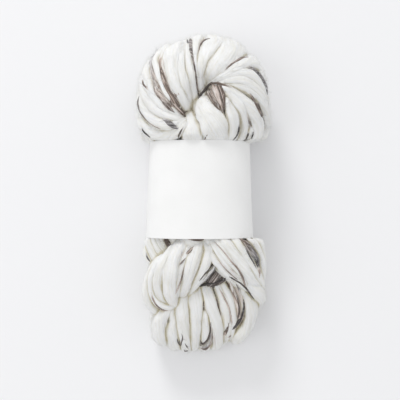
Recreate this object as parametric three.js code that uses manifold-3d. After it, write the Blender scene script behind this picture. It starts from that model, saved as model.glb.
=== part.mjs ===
// A twisted hank of thick handspun yarn, lying on its back, with a paper band round its waist.
// Millimetres. +Y runs along the hank to its knotted head, +Z is up and the surface is Z = 0.
// The origin is the middle of the band's flat underside.
import * as THREE from 'three';
import { mergeVertices } from 'three/addons/utils/BufferGeometryUtils.js';
import Module from 'manifold-3d';

const wasm = await Module();
wasm.setup();
const { lerp, clamp } = THREE.MathUtils;

// Band
const BAND_LENGTH = 70; // along the hank
const BAND_HALF_WIDTH_HEAD = 37.7; // at the edge nearest the head
const BAND_HALF_WIDTH_FOOT = 40.3; // at the edge nearest the foot
const BAND_HALF_HEIGHT = 33.5;
const BAND_AXIS_HEIGHT = 31; // lower than the half height, so the underside is flat
const BAND_THICKNESS = 1;
const BAND_SQUARENESS = 2.3; // 2 is an ellipse, and more is squarer
const CLEARANCE = 0.4; // between the band and the yarn
const FACETS_ROUND_WAIST = 40;

// The waist runs on past the band and rounds off: how far past, and how far in from the band.
const WAIST_SHOULDER = { past: 6, inset: 6 };
const WAIST_END = { past: 10, inset: 12 };

// Yarn inside each end of the hank: its middle and half sizes
const HEAD = { x: 2, y: 68, z: 31, halfX: 38, halfY: 34, halfZ: 17 };
const FOOT = { x: 1, y: -74, z: 24, halfX: 32, halfY: 32, halfZ: 17 };
const CORE_FACETS = { around: 16, high: 10 };

// A bundle of strands
const HALF_THICK = 8.5; // at right angles to the hank's surface
const BLUNT_END = 0.6; // size of its end against its body
const FACETS_ROUND_BUNDLE = 10;
const FACET_LENGTH = 13;
const SMALLEST_DETAIL = 0.6;
const SAME_POINT = 0.001;

// A petal's run from the head's rim to the band. Its stops are shares of the way to the band.
const RIM = { z: 34, halfWide: 11 };
const UNDER_RIM = { stop: 0.28, z: 9, halfWide: 9 };
const UNDER_NECK = { stop: 0.8, z: 9, halfWide: 6 };
const IN_BAND = { stop: 1.1, z: 13, halfWide: 6 };

// In every table below a row is x, y, z and half the bundle's width there.
const ROW = ['x', 'y', 'z', 'halfWide'];

// Petals: bundles from the hollow of the head, across its crown and over its rim. rim is where each
// turns to the back, and neck is how far across it enters the band.
const PETALS = {
  lowLeft: {
    rim: [-37, 54],
    neck: -31,
    front: [[-10, 48, 46, 3], [-18, 42, 55, 5], [-28, 40, 55, 6], [-36, 45, 47, 7]],
  },
  left: { rim: [-38, 68], neck: -27, front: [[-12, 49, 48, 3], [-23, 49, 57, 5], [-32, 55, 56, 7]] },
  upperLeft: { rim: [-34, 84], neck: -22, front: [[-11, 52, 49, 3], [-21, 59, 59, 5], [-28, 70, 60, 7]] },
  farLeft: { rim: [-25, 98], neck: -15, front: [[-8, 57, 50, 3], [-16, 66, 60, 6], [-21, 79, 62, 8]] },
  far: { rim: [-11, 103], neck: -8, front: [[-5, 60, 51, 3], [-8, 70, 61, 5], [-10, 84, 63, 7]] },
  farRight: { rim: [4, 106], neck: 0, front: [[-1, 68, 51, 3], [-2, 79, 61, 4], [0, 91, 61, 6]] },
  broad: { rim: [23, 103], neck: 8, front: [[2, 72, 51, 3], [8, 82, 61, 7], [16, 92, 61, 9]] },
  upperRight: { rim: [37, 89], neck: 16, front: [[9, 76, 52, 3], [20, 83, 60, 5], [31, 85, 54, 7]] },
  right: { rim: [44, 71], neck: 24, front: [[12, 74, 52, 3], [24, 76, 59, 5], [34, 73, 54, 7]] },
  rightShoulder: { rim: [44, 52], neck: 31, front: [[16, 70, 53, 3], [27, 67, 57, 5], [37, 59, 51, 7]] },
};

// Bundles from the hollow of the head down into the band
const FRONT_OF_HEAD = {
  lowTuck: [[-11, 45, 48, 3], [-17, 40, 54, 5], [-23, 33, 48, 7], [-25, 26, 42, 7]],
  shortStrand: [[-8, 55, 52, 4], [-7, 47, 57, 7], [-5, 38, 54, 8], [-4, 29, 46, 8]],
  fatStrand: [[2, 66, 51, 6], [6, 57, 58, 11], [11, 44, 58, 12], [14, 35, 52, 12], [15, 27, 46, 11]],
  hollow: [[7, 77, 48, 3], [10, 68, 52, 6], [15, 58, 50, 5]],
  rightRow: [[13, 70, 52, 3], [21, 63, 58, 5], [27, 52, 57, 7], [28, 38, 51, 7], [26, 29, 44, 7]],
  rightEdge: [[18, 68, 50, 3], [30, 60, 53, 6], [37, 48, 46, 7], [36, 36, 40, 7], [30, 26, 36, 7]],
};

// The plies below the band. They part over the foot, and the outer ones go on round its sides.
const PLIES = {
  leftShoulder: [[-24, -26, 38, 8], [-32, -37, 38, 8], [-33, -48, 35, 8], [-26, -60, 26, 7]],
  outerLeft: [
    [-17, -34, 46, 5], [-26, -48, 48, 7], [-33, -60, 43, 8], [-35, -74, 34, 8],
    [-29, -86, 24, 7], [-20, -86, 12, 7], [-10, -66, 9, 7], [-8, -34, 12, 7],
  ],
  innerLeft: [[-7, -30, 48, 6], [-15, -46, 53, 8], [-20, -59, 50, 8], [-22, -73, 42, 8], [-22, -84, 30, 6]],
  centreLeft: [[4, -28, 48, 7], [-1, -42, 54, 10], [-5, -53, 52, 10], [-8, -64, 46, 9], [-10, -76, 32, 8]],
  innerEdge: [[12, -34, 46, 4], [8, -52, 50, 5], [2, -64, 46, 5], [-4, -73, 38, 4]],
  innerRight: [[4, -28, 48, 5], [10, -43, 53, 7], [18, -55, 52, 7], [28, -66, 44, 6], [36, -76, 32, 5]],
  broadRight: [
    [14, -28, 48, 7], [21, -43, 53, 8], [30, -55, 49, 8], [37, -67, 40, 8],
    [40, -78, 28, 7], [28, -80, 12, 7], [14, -64, 9, 7], [8, -34, 12, 7],
  ],
  outerRight: [
    [24, -28, 40, 8], [32, -42, 44, 8], [38, -54, 40, 7], [39, -66, 32, 7],
    [32, -74, 20, 7], [24, -62, 10, 7], [22, -34, 12, 7],
  ],
  lowRight: [[30, -66, 36, 6], [40, -72, 32, 7], [40, -82, 25, 7], [30, -84, 18, 6]],
  underLeft: [[-28, -28, 22, 8], [-32, -42, 18, 8], [-28, -58, 11, 8], [-14, -76, 9, 7]],
  underRight: [[30, -28, 22, 8], [34, -42, 18, 8], [30, -56, 12, 8], [20, -74, 9, 7]],
};

// The loops of the hank's end, which hang out from under the plies
const LOOPS = {
  farLeft: [[-16, -79, 34, 5], [-25, -91, 32, 7], [-28, -103, 26, 8], [-23, -111, 17, 7], [-19, -98, 9, 7]],
  left: [
    [-12, -69, 38, 5], [-12, -81, 40, 6], [-12, -96, 36, 6],
    [-10, -111, 26, 6], [-10, -112, 14, 6], [-12, -92, 9, 6],
  ],
  middle: [
    [-3, -69, 38, 5], [-3, -82, 40, 6], [-3, -98, 36, 6],
    [-3, -112, 26, 6], [-2, -113, 14, 6], [-4, -92, 9, 6],
  ],
  inner: [[4, -79, 34, 3], [4, -92, 33, 4], [4, -108, 26, 4], [4, -112, 15, 4], [3, -94, 9, 4]],
  slanting: [
    [5, -63, 38, 4], [7, -78, 41, 5], [12, -93, 37, 6],
    [13, -109, 27, 6], [11, -111, 15, 6], [8, -90, 9, 6],
  ],
  right: [
    [11, -61, 38, 6], [18, -74, 40, 6], [22, -89, 35, 6],
    [21, -102, 24, 6], [17, -102, 12, 6], [12, -84, 9, 6],
  ],
  innerRight: [[22, -64, 36, 5], [28, -75, 37, 5], [29, -89, 31, 5], [25, -99, 20, 4], [20, -94, 11, 5]],
  farRight: [
    [28, -65, 34, 6], [36, -79, 34, 8], [37, -92, 29, 8],
    [30, -104, 23, 8], [22, -105, 13, 7], [15, -88, 9, 7],
  ],
};

function readRows(rows) {
  return rows.map((row) => Object.fromEntries(row.map((value, i) => [ROW[i], value])));
}

// A petal's whole run: its front rows, the rim, the underside and the neck inside the band.
function petalRows({ rim: [rimX, rimY], neck, front }) {
  const under = ({ stop, z, halfWide }) => [
    lerp(rimX, neck, stop), lerp(rimY, BAND_LENGTH / 2, stop), z, halfWide,
  ];
  return [...front, [rimX, rimY, RIM.z, RIM.halfWide], under(UNDER_RIM), under(UNDER_NECK), under(IN_BAND)];
}

// A geometry with one shared vertex wherever its faces meet.
function welded(geometry) {
  geometry.deleteAttribute('normal');
  geometry.deleteAttribute('uv');
  return mergeVertices(geometry, SAME_POINT);
}

// The way out at a point, from the line between the middles of the hank's two ends.
function outward(point) {
  const headMiddle = new THREE.Vector3(HEAD.x, HEAD.y, HEAD.z);
  const footMiddle = new THREE.Vector3(FOOT.x, FOOT.y, FOOT.z);
  const line = new THREE.Line3(headMiddle, footMiddle);
  return point.clone().sub(line.closestPointToPoint(point, true, new THREE.Vector3()));
}

// A bundle of strands: an oval swept along its rows, with blunt ends.
function bundleGeometry(table) {
  const rows = readRows(table);
  const path = new THREE.CatmullRomCurve3(rows.map((row) => new THREE.Vector3(row.x, row.y, row.z)));
  const widths = new THREE.CatmullRomCurve3(rows.map((row) => new THREE.Vector3(row.halfWide, 0, 0)));
  const along = Math.ceil(path.getLength() / FACET_LENGTH);
  const geometry = welded(new THREE.CylinderGeometry(1, 1, 1, FACETS_ROUND_BUNDLE, along));
  const position = geometry.getAttribute('position');
  for (let i = 0; i < position.count; i += 1) {
    const t = 0.5 - position.getY(i);
    const point = path.getPoint(t);
    const tangent = path.getTangent(t);
    const normal = outward(point).projectOnPlane(tangent).normalize();
    const side = new THREE.Vector3().crossVectors(normal, tangent);
    const fromEnd = Math.min(1, along * Math.min(t, 1 - t));
    const size = lerp(BLUNT_END, 1, fromEnd);
    point.addScaledVector(side, position.getX(i) * widths.getPoint(t).x * size);
    point.addScaledVector(normal, position.getZ(i) * HALF_THICK * size);
    position.setXYZ(i, point.x, point.y, point.z);
  }
  return geometry;
}

function coreGeometry({ x, y, z, halfX, halfY, halfZ }) {
  const ball = new THREE.SphereGeometry(1, CORE_FACETS.around, CORE_FACETS.high);
  return welded(ball.scale(halfX, halfY, halfZ).translate(x, y, z));
}

// A point of the section at y, drawn in from the outside of the band by inset.
function waistPoint(angle, { y, inset }) {
  const share = clamp(0.5 - y / BAND_LENGTH, 0, 1);
  const halfWidth = lerp(BAND_HALF_WIDTH_HEAD, BAND_HALF_WIDTH_FOOT, share) - inset;
  const halfHeight = BAND_HALF_HEIGHT - inset;
  const squared = (value) => Math.sign(value) * Math.abs(value) ** (2 / BAND_SQUARENESS);
  const z = BAND_AXIS_HEIGHT + halfHeight * squared(Math.sin(angle));
  return new THREE.Vector3(halfWidth * squared(Math.cos(angle)), y, Math.max(z, inset));
}

// A surface through rings of waist points. A plug has a point in the middle of each end, and a
// sleeve's last ring joins its first.
function waistGeometry(rings, isPlug) {
  const rows = isPlug ? [rings[0], ...rings, rings[rings.length - 1]] : [...rings, rings[0]];
  const isMiddle = (row) => isPlug && (row === 0 || row === rows.length - 1);
  const profile = rows.map(({ y }, row) => new THREE.Vector2(isMiddle(row) ? 0 : 1, y));
  const geometry = new THREE.LatheGeometry(profile, FACETS_ROUND_WAIST);
  const position = geometry.getAttribute('position');
  for (let i = 0; i < position.count; i += 1) {
    const row = i % rows.length;
    const angle = (2 * Math.PI * Math.floor(i / rows.length)) / FACETS_ROUND_WAIST;
    const middle = new THREE.Vector3(0, rows[row].y, BAND_AXIS_HEIGHT);
    const point = isMiddle(row) ? middle : waistPoint(angle, rows[row]);
    position.setXYZ(i, point.x, point.y, point.z);
  }
  return welded(geometry);
}

function solid(geometry) {
  const made = new wasm.Manifold(
    new wasm.Mesh({
      numProp: 3,
      vertProperties: new Float32Array(geometry.getAttribute('position').array),
      triVerts: new Uint32Array(geometry.index.array),
    }),
  );
  if (made.volume() < 0) throw new Error('a surface is inside out');
  return made;
}

// The same solid without the hollows shut in between its bundles.
function filled(made) {
  return made.decompose().filter((one) => one.volume() > 0).reduce((all, one) => all.add(one));
}

function meshOf(made, name, material) {
  const { vertProperties, triVerts, numProp } = made.getMesh();
  const corners = new THREE.InterleavedBuffer(vertProperties, numProp);
  const geometry = new THREE.BufferGeometry();
  geometry.setAttribute('position', new THREE.InterleavedBufferAttribute(corners, 3, 0));
  geometry.setIndex(new THREE.BufferAttribute(triVerts, 1));
  geometry.computeVertexNormals();
  const mesh = new THREE.Mesh(geometry, material);
  mesh.name = name;
  return mesh;
}

function waistSolid() {
  const half = BAND_LENGTH / 2;
  const inside = BAND_THICKNESS + CLEARANCE;
  return solid(waistGeometry([
    { y: half + WAIST_END.past, inset: WAIST_END.inset },
    { y: half + WAIST_SHOULDER.past, inset: WAIST_SHOULDER.inset },
    { y: half + CLEARANCE, inset: inside },
    { y: -half - CLEARANCE, inset: inside },
    { y: -half - WAIST_SHOULDER.past, inset: WAIST_SHOULDER.inset },
    { y: -half - WAIST_END.past, inset: WAIST_END.inset },
  ], true));
}

// The waist fills the band, and everything else stays clear of the band and above the surface.
function hankSolid() {
  const wide = 2 * (HEAD.halfX + FOOT.halfX);
  const roomForBand = new THREE.BoxGeometry(wide, BAND_LENGTH + 2 * CLEARANCE, wide);
  const belowSurface = new THREE.BoxGeometry(wide, 2 * wide, wide).translate(0, 0, -wide / 2);
  const tables = [
    ...Object.values(PETALS).map(petalRows),
    ...Object.values(FRONT_OF_HEAD),
    ...Object.values(PLIES),
    ...Object.values(LOOPS),
  ];
  const ends = [coreGeometry(HEAD), coreGeometry(FOOT), ...tables.map(bundleGeometry)]
    .map(solid)
    .reduce((all, one) => all.add(one))
    .simplify(SMALLEST_DETAIL);
  const clear = ends.subtract(solid(welded(roomForBand))).subtract(solid(welded(belowSurface)));
  return filled(clear.add(waistSolid()));
}

function bandSolid() {
  const half = BAND_LENGTH / 2;
  return solid(waistGeometry([
    { y: half, inset: BAND_THICKNESS },
    { y: half, inset: 0 },
    { y: -half, inset: 0 },
    { y: -half, inset: BAND_THICKNESS },
  ], false));
}

const wool = new THREE.MeshStandardMaterial({ color: 0xe9e8e4, roughness: 0.95, metalness: 0 });
const paper = new THREE.MeshStandardMaterial({ color: 0xf5f4f2, roughness: 0.8, metalness: 0 });

const hank = new THREE.Group();
hank.add(meshOf(hankSolid(), 'yarn_hank', wool));
hank.add(meshOf(bandSolid(), 'paper_band', paper));

export default hank;
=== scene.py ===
# A twisted hank of thick handspun yarn in a paper band, lying on its back in soft studio light.
# Lengths are millimetres, unless a comment says metres. The frame is the CAD's: +Y runs to the hank's
# head and +Z is up.
import math

import bmesh
import bpy
import numpy as np
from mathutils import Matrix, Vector, noise


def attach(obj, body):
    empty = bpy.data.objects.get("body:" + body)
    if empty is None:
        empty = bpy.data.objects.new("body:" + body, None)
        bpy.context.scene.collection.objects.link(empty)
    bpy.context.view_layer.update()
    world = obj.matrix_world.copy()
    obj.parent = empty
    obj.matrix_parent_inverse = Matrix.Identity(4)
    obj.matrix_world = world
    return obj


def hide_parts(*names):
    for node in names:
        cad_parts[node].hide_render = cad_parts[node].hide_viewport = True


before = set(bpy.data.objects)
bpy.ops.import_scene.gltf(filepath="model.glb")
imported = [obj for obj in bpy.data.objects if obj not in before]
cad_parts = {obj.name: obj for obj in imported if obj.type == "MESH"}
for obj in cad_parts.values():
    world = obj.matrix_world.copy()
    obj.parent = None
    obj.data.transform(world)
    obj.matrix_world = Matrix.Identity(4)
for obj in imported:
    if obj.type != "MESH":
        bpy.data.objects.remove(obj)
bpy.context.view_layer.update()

MM = 0.001

# Camera straight above the hank
CAMERA_HEIGHT = 640
CAMERA_X = 0.3
CAMERA_Y = -7.5
CAMERA_LENS = 73.584
CAMERA_SENSOR = 36

# Studio lights: place and size in metres, power in watts, and the room's own light
LIGHTS = {
    "key": dict(place=(-0.8, 2.7, 1.75), size=1.1, power=36.5),
    "side": dict(place=(-1.0, -0.1, 1.6), size=1.2, power=3.9),
}
ROOM_LIGHT = 0.803
ROOM_COLOUR = (0.985, 0.99, 1, 1)
FLOOR_HALF_SIZE = 4

# Paper band, as in the CAD
BAND_HALF_LENGTH = 35
BAND_HALF_WIDTH_HEAD = 37.7
BAND_HALF_WIDTH_FOOT = 40.3
BAND_HALF_HEIGHT = 33.5
BAND_AXIS_HEIGHT = 31
BAND_SQUARENESS = 2.3
BAND_CORNER = 0.85  # share of the half width where the yarn's height is the same as at the side
YARN_INSET = 1.3  # from the band's outside to the yarn
YARN_EASE = 1.5  # way past the band's edge over which the band lets the yarn go

# Paper strip, whose ends meet under the hank
PAPER_THICK = 0.3
PAPER_LAP = math.radians(24)  # turn by which one end lies over the other
PAPER_INSET = 0.55  # from the band's outside to the strip, and a little more at its other end
PAPER_LAP_INSET = 0.45
PAPER_WAVE = 0.22
WAVES = (9, 0.03, 4)  # waves round the strip and for each millimetre along it, and their start
AROUND_BAND = 150
ALONG_BAND = 28
EDGE_FLARE = 0.15
FLARE_REACH = 6
FLARE_EVEN = 0.6
FLARE_UNEVEN = 0.5
EDGE_WAVES = (14, 0.1, 8)
SHARP_FROM = math.radians(50)

# Spine of the hank, which every strand's outer side faces away from
SPINE_HEAD = Vector((2, 68, 31))
SPINE_FOOT = Vector((1, -74, 24))

# Head of the hank: height of its rim and its crown, and how far in from the rim the crown starts
RIM_HEIGHT = 35
CROWN_HEIGHT = 69
SHOULDER = 30
UNDER_SHOULDER = 26
RIM_ANGLES = (25, 0, -40, -90)  # of a petal's rows above the level of the rim
RIM_START = ((-39, 25), (-41, 40))
RIM_END = ((47, 40), (42, 25))
HEAD_MIDDLE = Vector((3, 72))
HOLLOW_LINE = (Vector((-8, 54)), Vector((5, 74)))
HOLLOW_DEPTH = 14
HOLLOW_REACH = 7
UNDER_EDGE = 0.5  # how far the head starts under the yarn's height at the band's edge
RISE_FROM_BAND = 0.8  # and its rise for each millimetre from there
NECKS = (-22, 24)  # where the first and the last petal run into the band at the back

# A strand's half thickness is this, and a share of its half width
LEAST_DEEP = 2.9
DEEP_SHARE = 0.3
THIN_DEEP = 0.6  # and a thin strand's is this and its whole width
OVERLAP = 1  # how far a strand goes on under its neighbour, on each side
DYED_OVERLAP = 0.15
RIM_OVERLAP = 2
STEP = 1.4  # between a strand's rings
SIDES = 32

# The unseen way of a petal: share of the way from under the rim to the band, and height over its start
PETAL_HOME = ((0.5, 0), (0.85, 3), (1.2, 8))
HOME_NARROWS = 0.35
LEAST_ACROSS = 1.5
# The unseen way of a loop: shares of its rim's x and y, and height of its underside over the floor
LOOP_HOME = ((0.75, 0.83, 0.5), (0.5, 0.66, 4))
LOOP_SIDE_HEIGHT = 15
LOOP_UNDER_REACH = 5

# Lines of dyed fibres, and dark lines of painted shade in slits and under edges, that run on the strands
LINE_RISE = 0.2  # over the strands
LINE_DROP = 0.3  # the most that one lies under the strand's top at a place
LINE_WINDOW = 2  # places before and after over which its height is evened out
LINE_CLIFF = 3.5  # a line ends where the strands fall away by this from one place to the next
LINE_DEEP = 0.3
LINE_DEEP_SHARE = 0.8
LINE_SUNK = 0.35  # share of its half thickness that its middle lies under its top
LINE_SIDES = 10
SIGHT_FROM = 150  # height from which the strands are sought

# Strands half way between two petals, which close the crease
CREASE_ROWS = 26
CREASE_SKIPPED = 2  # rows left out in the hollow
CREASE_LOWER = 1.3
CREASE_OVERLAP = 1.5
CREASE_WIDEST = 6
CREASE_DEEP = 3.6
CREASE_DYE = 0.8

# Bundles and the strands through the band
BUNDLE_STEP = 6
BUNDLE_WAVE = 1.2
WAVE_ALONG, WAVE_APART, WAVE_DRIFT = 0.4, 3.1, 0.1  # in the noise, from row to row and strand to strand
BUNDLE_OVERLAP = 1.35
BUNDLE_DEEP = 5
WAIST_STRANDS = 12
WAIST_HALF_LENGTH = 44
WAIST_STEP = 8
WAIST_TURN = 0.008  # of the strands round the hank, for each millimetre along it
WAIST_SHARE = 0.74  # of the band's half width, and less past its edges
WAIST_NARROWS = 0.012
WAIST_HALF_WIDE = 7.8
WAIST_DEEP = 5.5

# How strands are swept, by piece
UNSEEN = {"step": 2.8, "values": {"Sides": 14}}
SEEN = {"step": STEP, "values": {"Sides": SIDES}}
UNSEEN_PIECES = ("inner_yarn", "head_creases", "foot_filling")
PLIED = {"Sides": 24, "Twist Length": 13, "Ridge Share": 0.9, "Ridge Width": 2.0}
START_APART = 137.0  # along the noise from one strand to the next, so that no two are alike
TIP_LEFT = 0.02  # square of a strand's size at its very tip
NORMAL_SHARE = 0.5  # of the way to the fresh way out that a strand's section turns at each ring

# Fuzz: short bent hairs. A piece of it reaches from one place to another along the hank.
FUZZ_FROM_TO = {
    "head_fuzz": (BAND_HALF_LENGTH + 1, 200),
    "foot_fuzz": (-200, -BAND_HALF_LENGTH - 1),
}
FUZZ_LIFT = 0.1  # from a root to where other yarn is sought over it
FUZZ_FROM_FLOOR = 4.5
HAIR_BEND = 0.55  # of a hair's tip to one side, as a share of its length
HAIR_DROOP = 0.3  # of the tip, as a share of its bend
HAIR_THINS = 0.75
HAIR_LEAN = 1.2  # the most, in radians, away from straight out of the yarn
SHORTEST_HAIR = 0.35  # as a share of the longest
HAIR_LENGTH_SEED = 9

# Petals: strands from the hollow of the head, over its crown and rim, and along the back to the band.
# rim is where a petal turns to the back, with half its width. A front row is x, y and half the
# width that shows. The dye value is 0 where undyed and 1 at its darkest, spread evenly over the rows,
# and on the dark lines it stands for painted shade. grey is 0 for brown and 1 for grey. sink and lift move a
# strand down or up by so many millimetres.
PETALS = {
    "low_left": dict(rim=(-46, 62, 5), front=[
        (-12, 46, 1.5), (-20, 41.5, 3.5), (-29, 40.5, 4.5), (-37, 44.5, 5), (-41.5, 51.5, 5),
    ]),
    "left_low": dict(rim=(-46.3, 71, 4.5), front=[
        (-13, 47.5, 1.5), (-21, 45.5, 3), (-29, 48.5, 4), (-36.5, 55, 4.5), (-41, 62.5, 4.5),
    ]),
    "left_mid": dict(rim=(-45, 79.5, 4.5), front=[
        (-12, 48.5, 1.5), (-18.5, 50, 2.5), (-26, 54, 3.2), (-33.5, 61, 4), (-38.5, 69, 4),
    ]),
    "left_high": dict(rim=(-43, 87, 4.5), front=[
        (-12, 51, 1), (-19, 54.2, 2), (-26, 59.5, 3), (-32.5, 67, 3.8), (-36.5, 75, 4),
    ]),
    "left_pale": dict(rim=(-38.5, 94.5, 4.5), front=[
        (-18, 55.5, 1), (-25, 60.5, 1.5), (-31.5, 67.5, 2.2), (-35, 76, 3), (-37, 84, 3.6),
    ]),
    "brown_edge": dict(
        rim=(-33.2, 101, 1.6), sink=0.3,
        dye=(0.8, 0.76, 0.72, 0.7, 0.7, 0.68, 0.6), grey=(0, 0, 0, 0.2, 0.5, 1, 1),
        front=[
            (-16, 54.5, 1.8), (-22, 60, 3.8), (-26.8, 67, 4.2), (-29.8, 75, 2.8), (-31.9, 83, 1.8),
            (-33.2, 91, 1.6),
        ],
    ),
    "sliver": dict(rim=(-29.5, 104.5, 3.2), lift=0.3, front=[
        (-21.5, 64, 0.4), (-24.3, 69, 0.9), (-26.2, 75, 1.2), (-28.8, 84, 1.9), (-30.5, 92, 2.4),
    ]),
    "brown_dark": dict(rim=(-26.6, 106, 1), dye=(0.95, 0.88, 0.82, 0.8, 0.78, 0.75, 0), sink=0.2, front=[
        (-9.5, 52, 1.3), (-13.5, 56.8, 1.8), (-17.8, 62, 2.5), (-21.8, 70, 2.6), (-24.7, 78.5, 2),
        (-27.2, 88, 0.9),
    ]),
    "white_left": dict(rim=(-19.5, 107.5, 8), front=[
        (-7.5, 56, 2), (-12.5, 63, 3.5), (-17, 72, 4.5), (-19.6, 83.5, 5.6), (-19.6, 93, 7),
    ]),
    "white_mid": dict(rim=(-12, 109.5, 1.5), front=[
        (-6, 57, 1.5), (-8.5, 65, 2.5), (-11.3, 75, 3.2), (-12.5, 84, 2.8), (-12.3, 95, 1.8),
    ]),
    "white_right": dict(rim=(-10, 110.5, 2.6), front=[
        (-2.5, 63, 1.5), (-4.4, 71.5, 2.3), (-6.2, 81, 2.9), (-7.8, 91, 3), (-8.8, 99, 2.6),
    ]),
    "small_white": dict(rim=(-2.2, 113.7, 3.2), front=[
        (-1.4, 76, 0.5), (-2.9, 88, 1), (-3, 96, 1.7), (-2.6, 102, 2.3),
    ]),
    "sweep": dict(rim=(14, 113, 8), front=[(0, 70, 1), (-0.3, 79, 2), (1.6, 88, 3.6), (6, 97, 6)]),
    "broad": dict(rim=(28.5, 108.3, 9), front=[
        (2, 69.3, 2), (5.2, 77.5, 4.2), (10.5, 85, 6.8), (18, 92.3, 8.2),
    ]),
    "right_upper": dict(rim=(43.5, 94.5, 4.6), front=[
        (9, 75.5, 1), (15.5, 79.5, 2), (23, 84.5, 3.2), (31, 88, 4),
    ]),
    "outer_white": dict(rim=(49, 82.5, 5.5), front=[
        (22, 81.5, 0.5), (30, 86, 1.2), (36.5, 88.6, 2), (42, 86.6, 3),
    ]),
    "right_second": dict(rim=(51.3, 66.5, 3.8), front=[
        (10.5, 75, 1), (17, 78.5, 2), (24.5, 81, 2.8), (32.5, 81.5, 3.4), (40, 77.5, 3.6),
    ]),
    "right_third": dict(rim=(51.3, 59, 4.5), front=[
        (12, 74, 1), (20, 76, 2), (28.5, 76.5, 2.8), (36.5, 73, 3.3), (42.5, 67, 3.6),
    ]),
}

# Strands that lie on the head, and those from its hollow into the band, with rows as a petal's front has
HEAD_TO_BAND = {
    "tuck": dict(rows=[(-10, 45, 2), (-16, 41, 3.5), (-24, 37.5, 4), (-31, 31, 4)]),
    "short": dict(lift=1.5, rows=[(-8, 55, 2.5), (-6.8, 48.5, 5.5), (-5.5, 40, 6.5), (-4.5, 32, 6.5)]),
    "fat": dict(lift=2, rows=[
        (1.5, 65, 3.5), (5, 57, 7.6), (10, 46.5, 9.2), (12, 38, 9.2), (12, 29.5, 8.8),
    ]),
    "brown_inner": dict(dye=(0.85, 0.75, 0.72, 0.74, 0.8), lift=0.5, rows=[
        (5.3, 76, 1.3), (6.6, 70.5, 2), (8.4, 65, 2.4), (11.3, 59.5, 2.2), (14.5, 53.5, 1),
    ]),
    "brown_mid": dict(dye=(0.85, 0.75, 0.72, 0.74, 0.8), lift=0.7, rows=[
        (9.6, 76.3, 1.6), (11.2, 70.5, 2.2), (12.9, 64.5, 2.2), (14.6, 58.5, 1.6), (16, 53, 0.7),
    ]),
    "brown_outer": dict(dye=(0.85, 0.8, 0.85, 0.9, 0.95), grey=0.1, lift=0.7, rows=[
        (12.6, 75.2, 1.2), (15, 70.3, 1.5), (16.4, 64.5, 1.3), (16.9, 59, 0.8), (16.5, 54, 0.4),
    ]),
    "shoulder": dict(rows=[
        (17.5, 71, 2), (24, 67.5, 3), (30.5, 62.5, 3.6), (36.5, 56.5, 4), (40.8, 49, 4.6), (41.6, 41, 4.2),
        (38.5, 33, 3.8),
    ]),
    "outer_shoulder": dict(sink=1, rows=[
        (16, 73.5, 1), (23, 73.3, 2), (31, 71.3, 2.4), (38.5, 67, 2.8), (44, 60.5, 2.8), (48, 53, 2.6),
        (48, 45, 2.8), (44.5, 37, 3), (38, 31, 3),
    ]),
    "row_outer": dict(rows=[
        (19, 68, 1.5), (24, 64, 2.8), (29, 57.5, 3.2), (31.5, 50, 3.2), (31.8, 44, 3.3), (29.5, 38, 3.2),
        (27, 31, 3.2),
    ]),
    "row_inner": dict(rows=[
        (18, 62.5, 1.6), (20.8, 58, 3), (23.2, 52, 3.6), (24, 45, 3.6), (22.5, 38, 3.6), (20, 31, 3.6),
    ]),
    "small_end": dict(lift=0.3, rows=[
        (37.2, 44, 0.6), (36.7, 39.5, 1.2), (34.6, 35.2, 1.2), (32, 31, 1.2),
    ]),
    "edge_right": dict(sink=4, rows=[
        (40, 66, 2), (46, 60, 3), (48.5, 52, 3.4), (47, 43, 3.8), (41, 35, 4), (34, 28, 4),
    ]),
}
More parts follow.
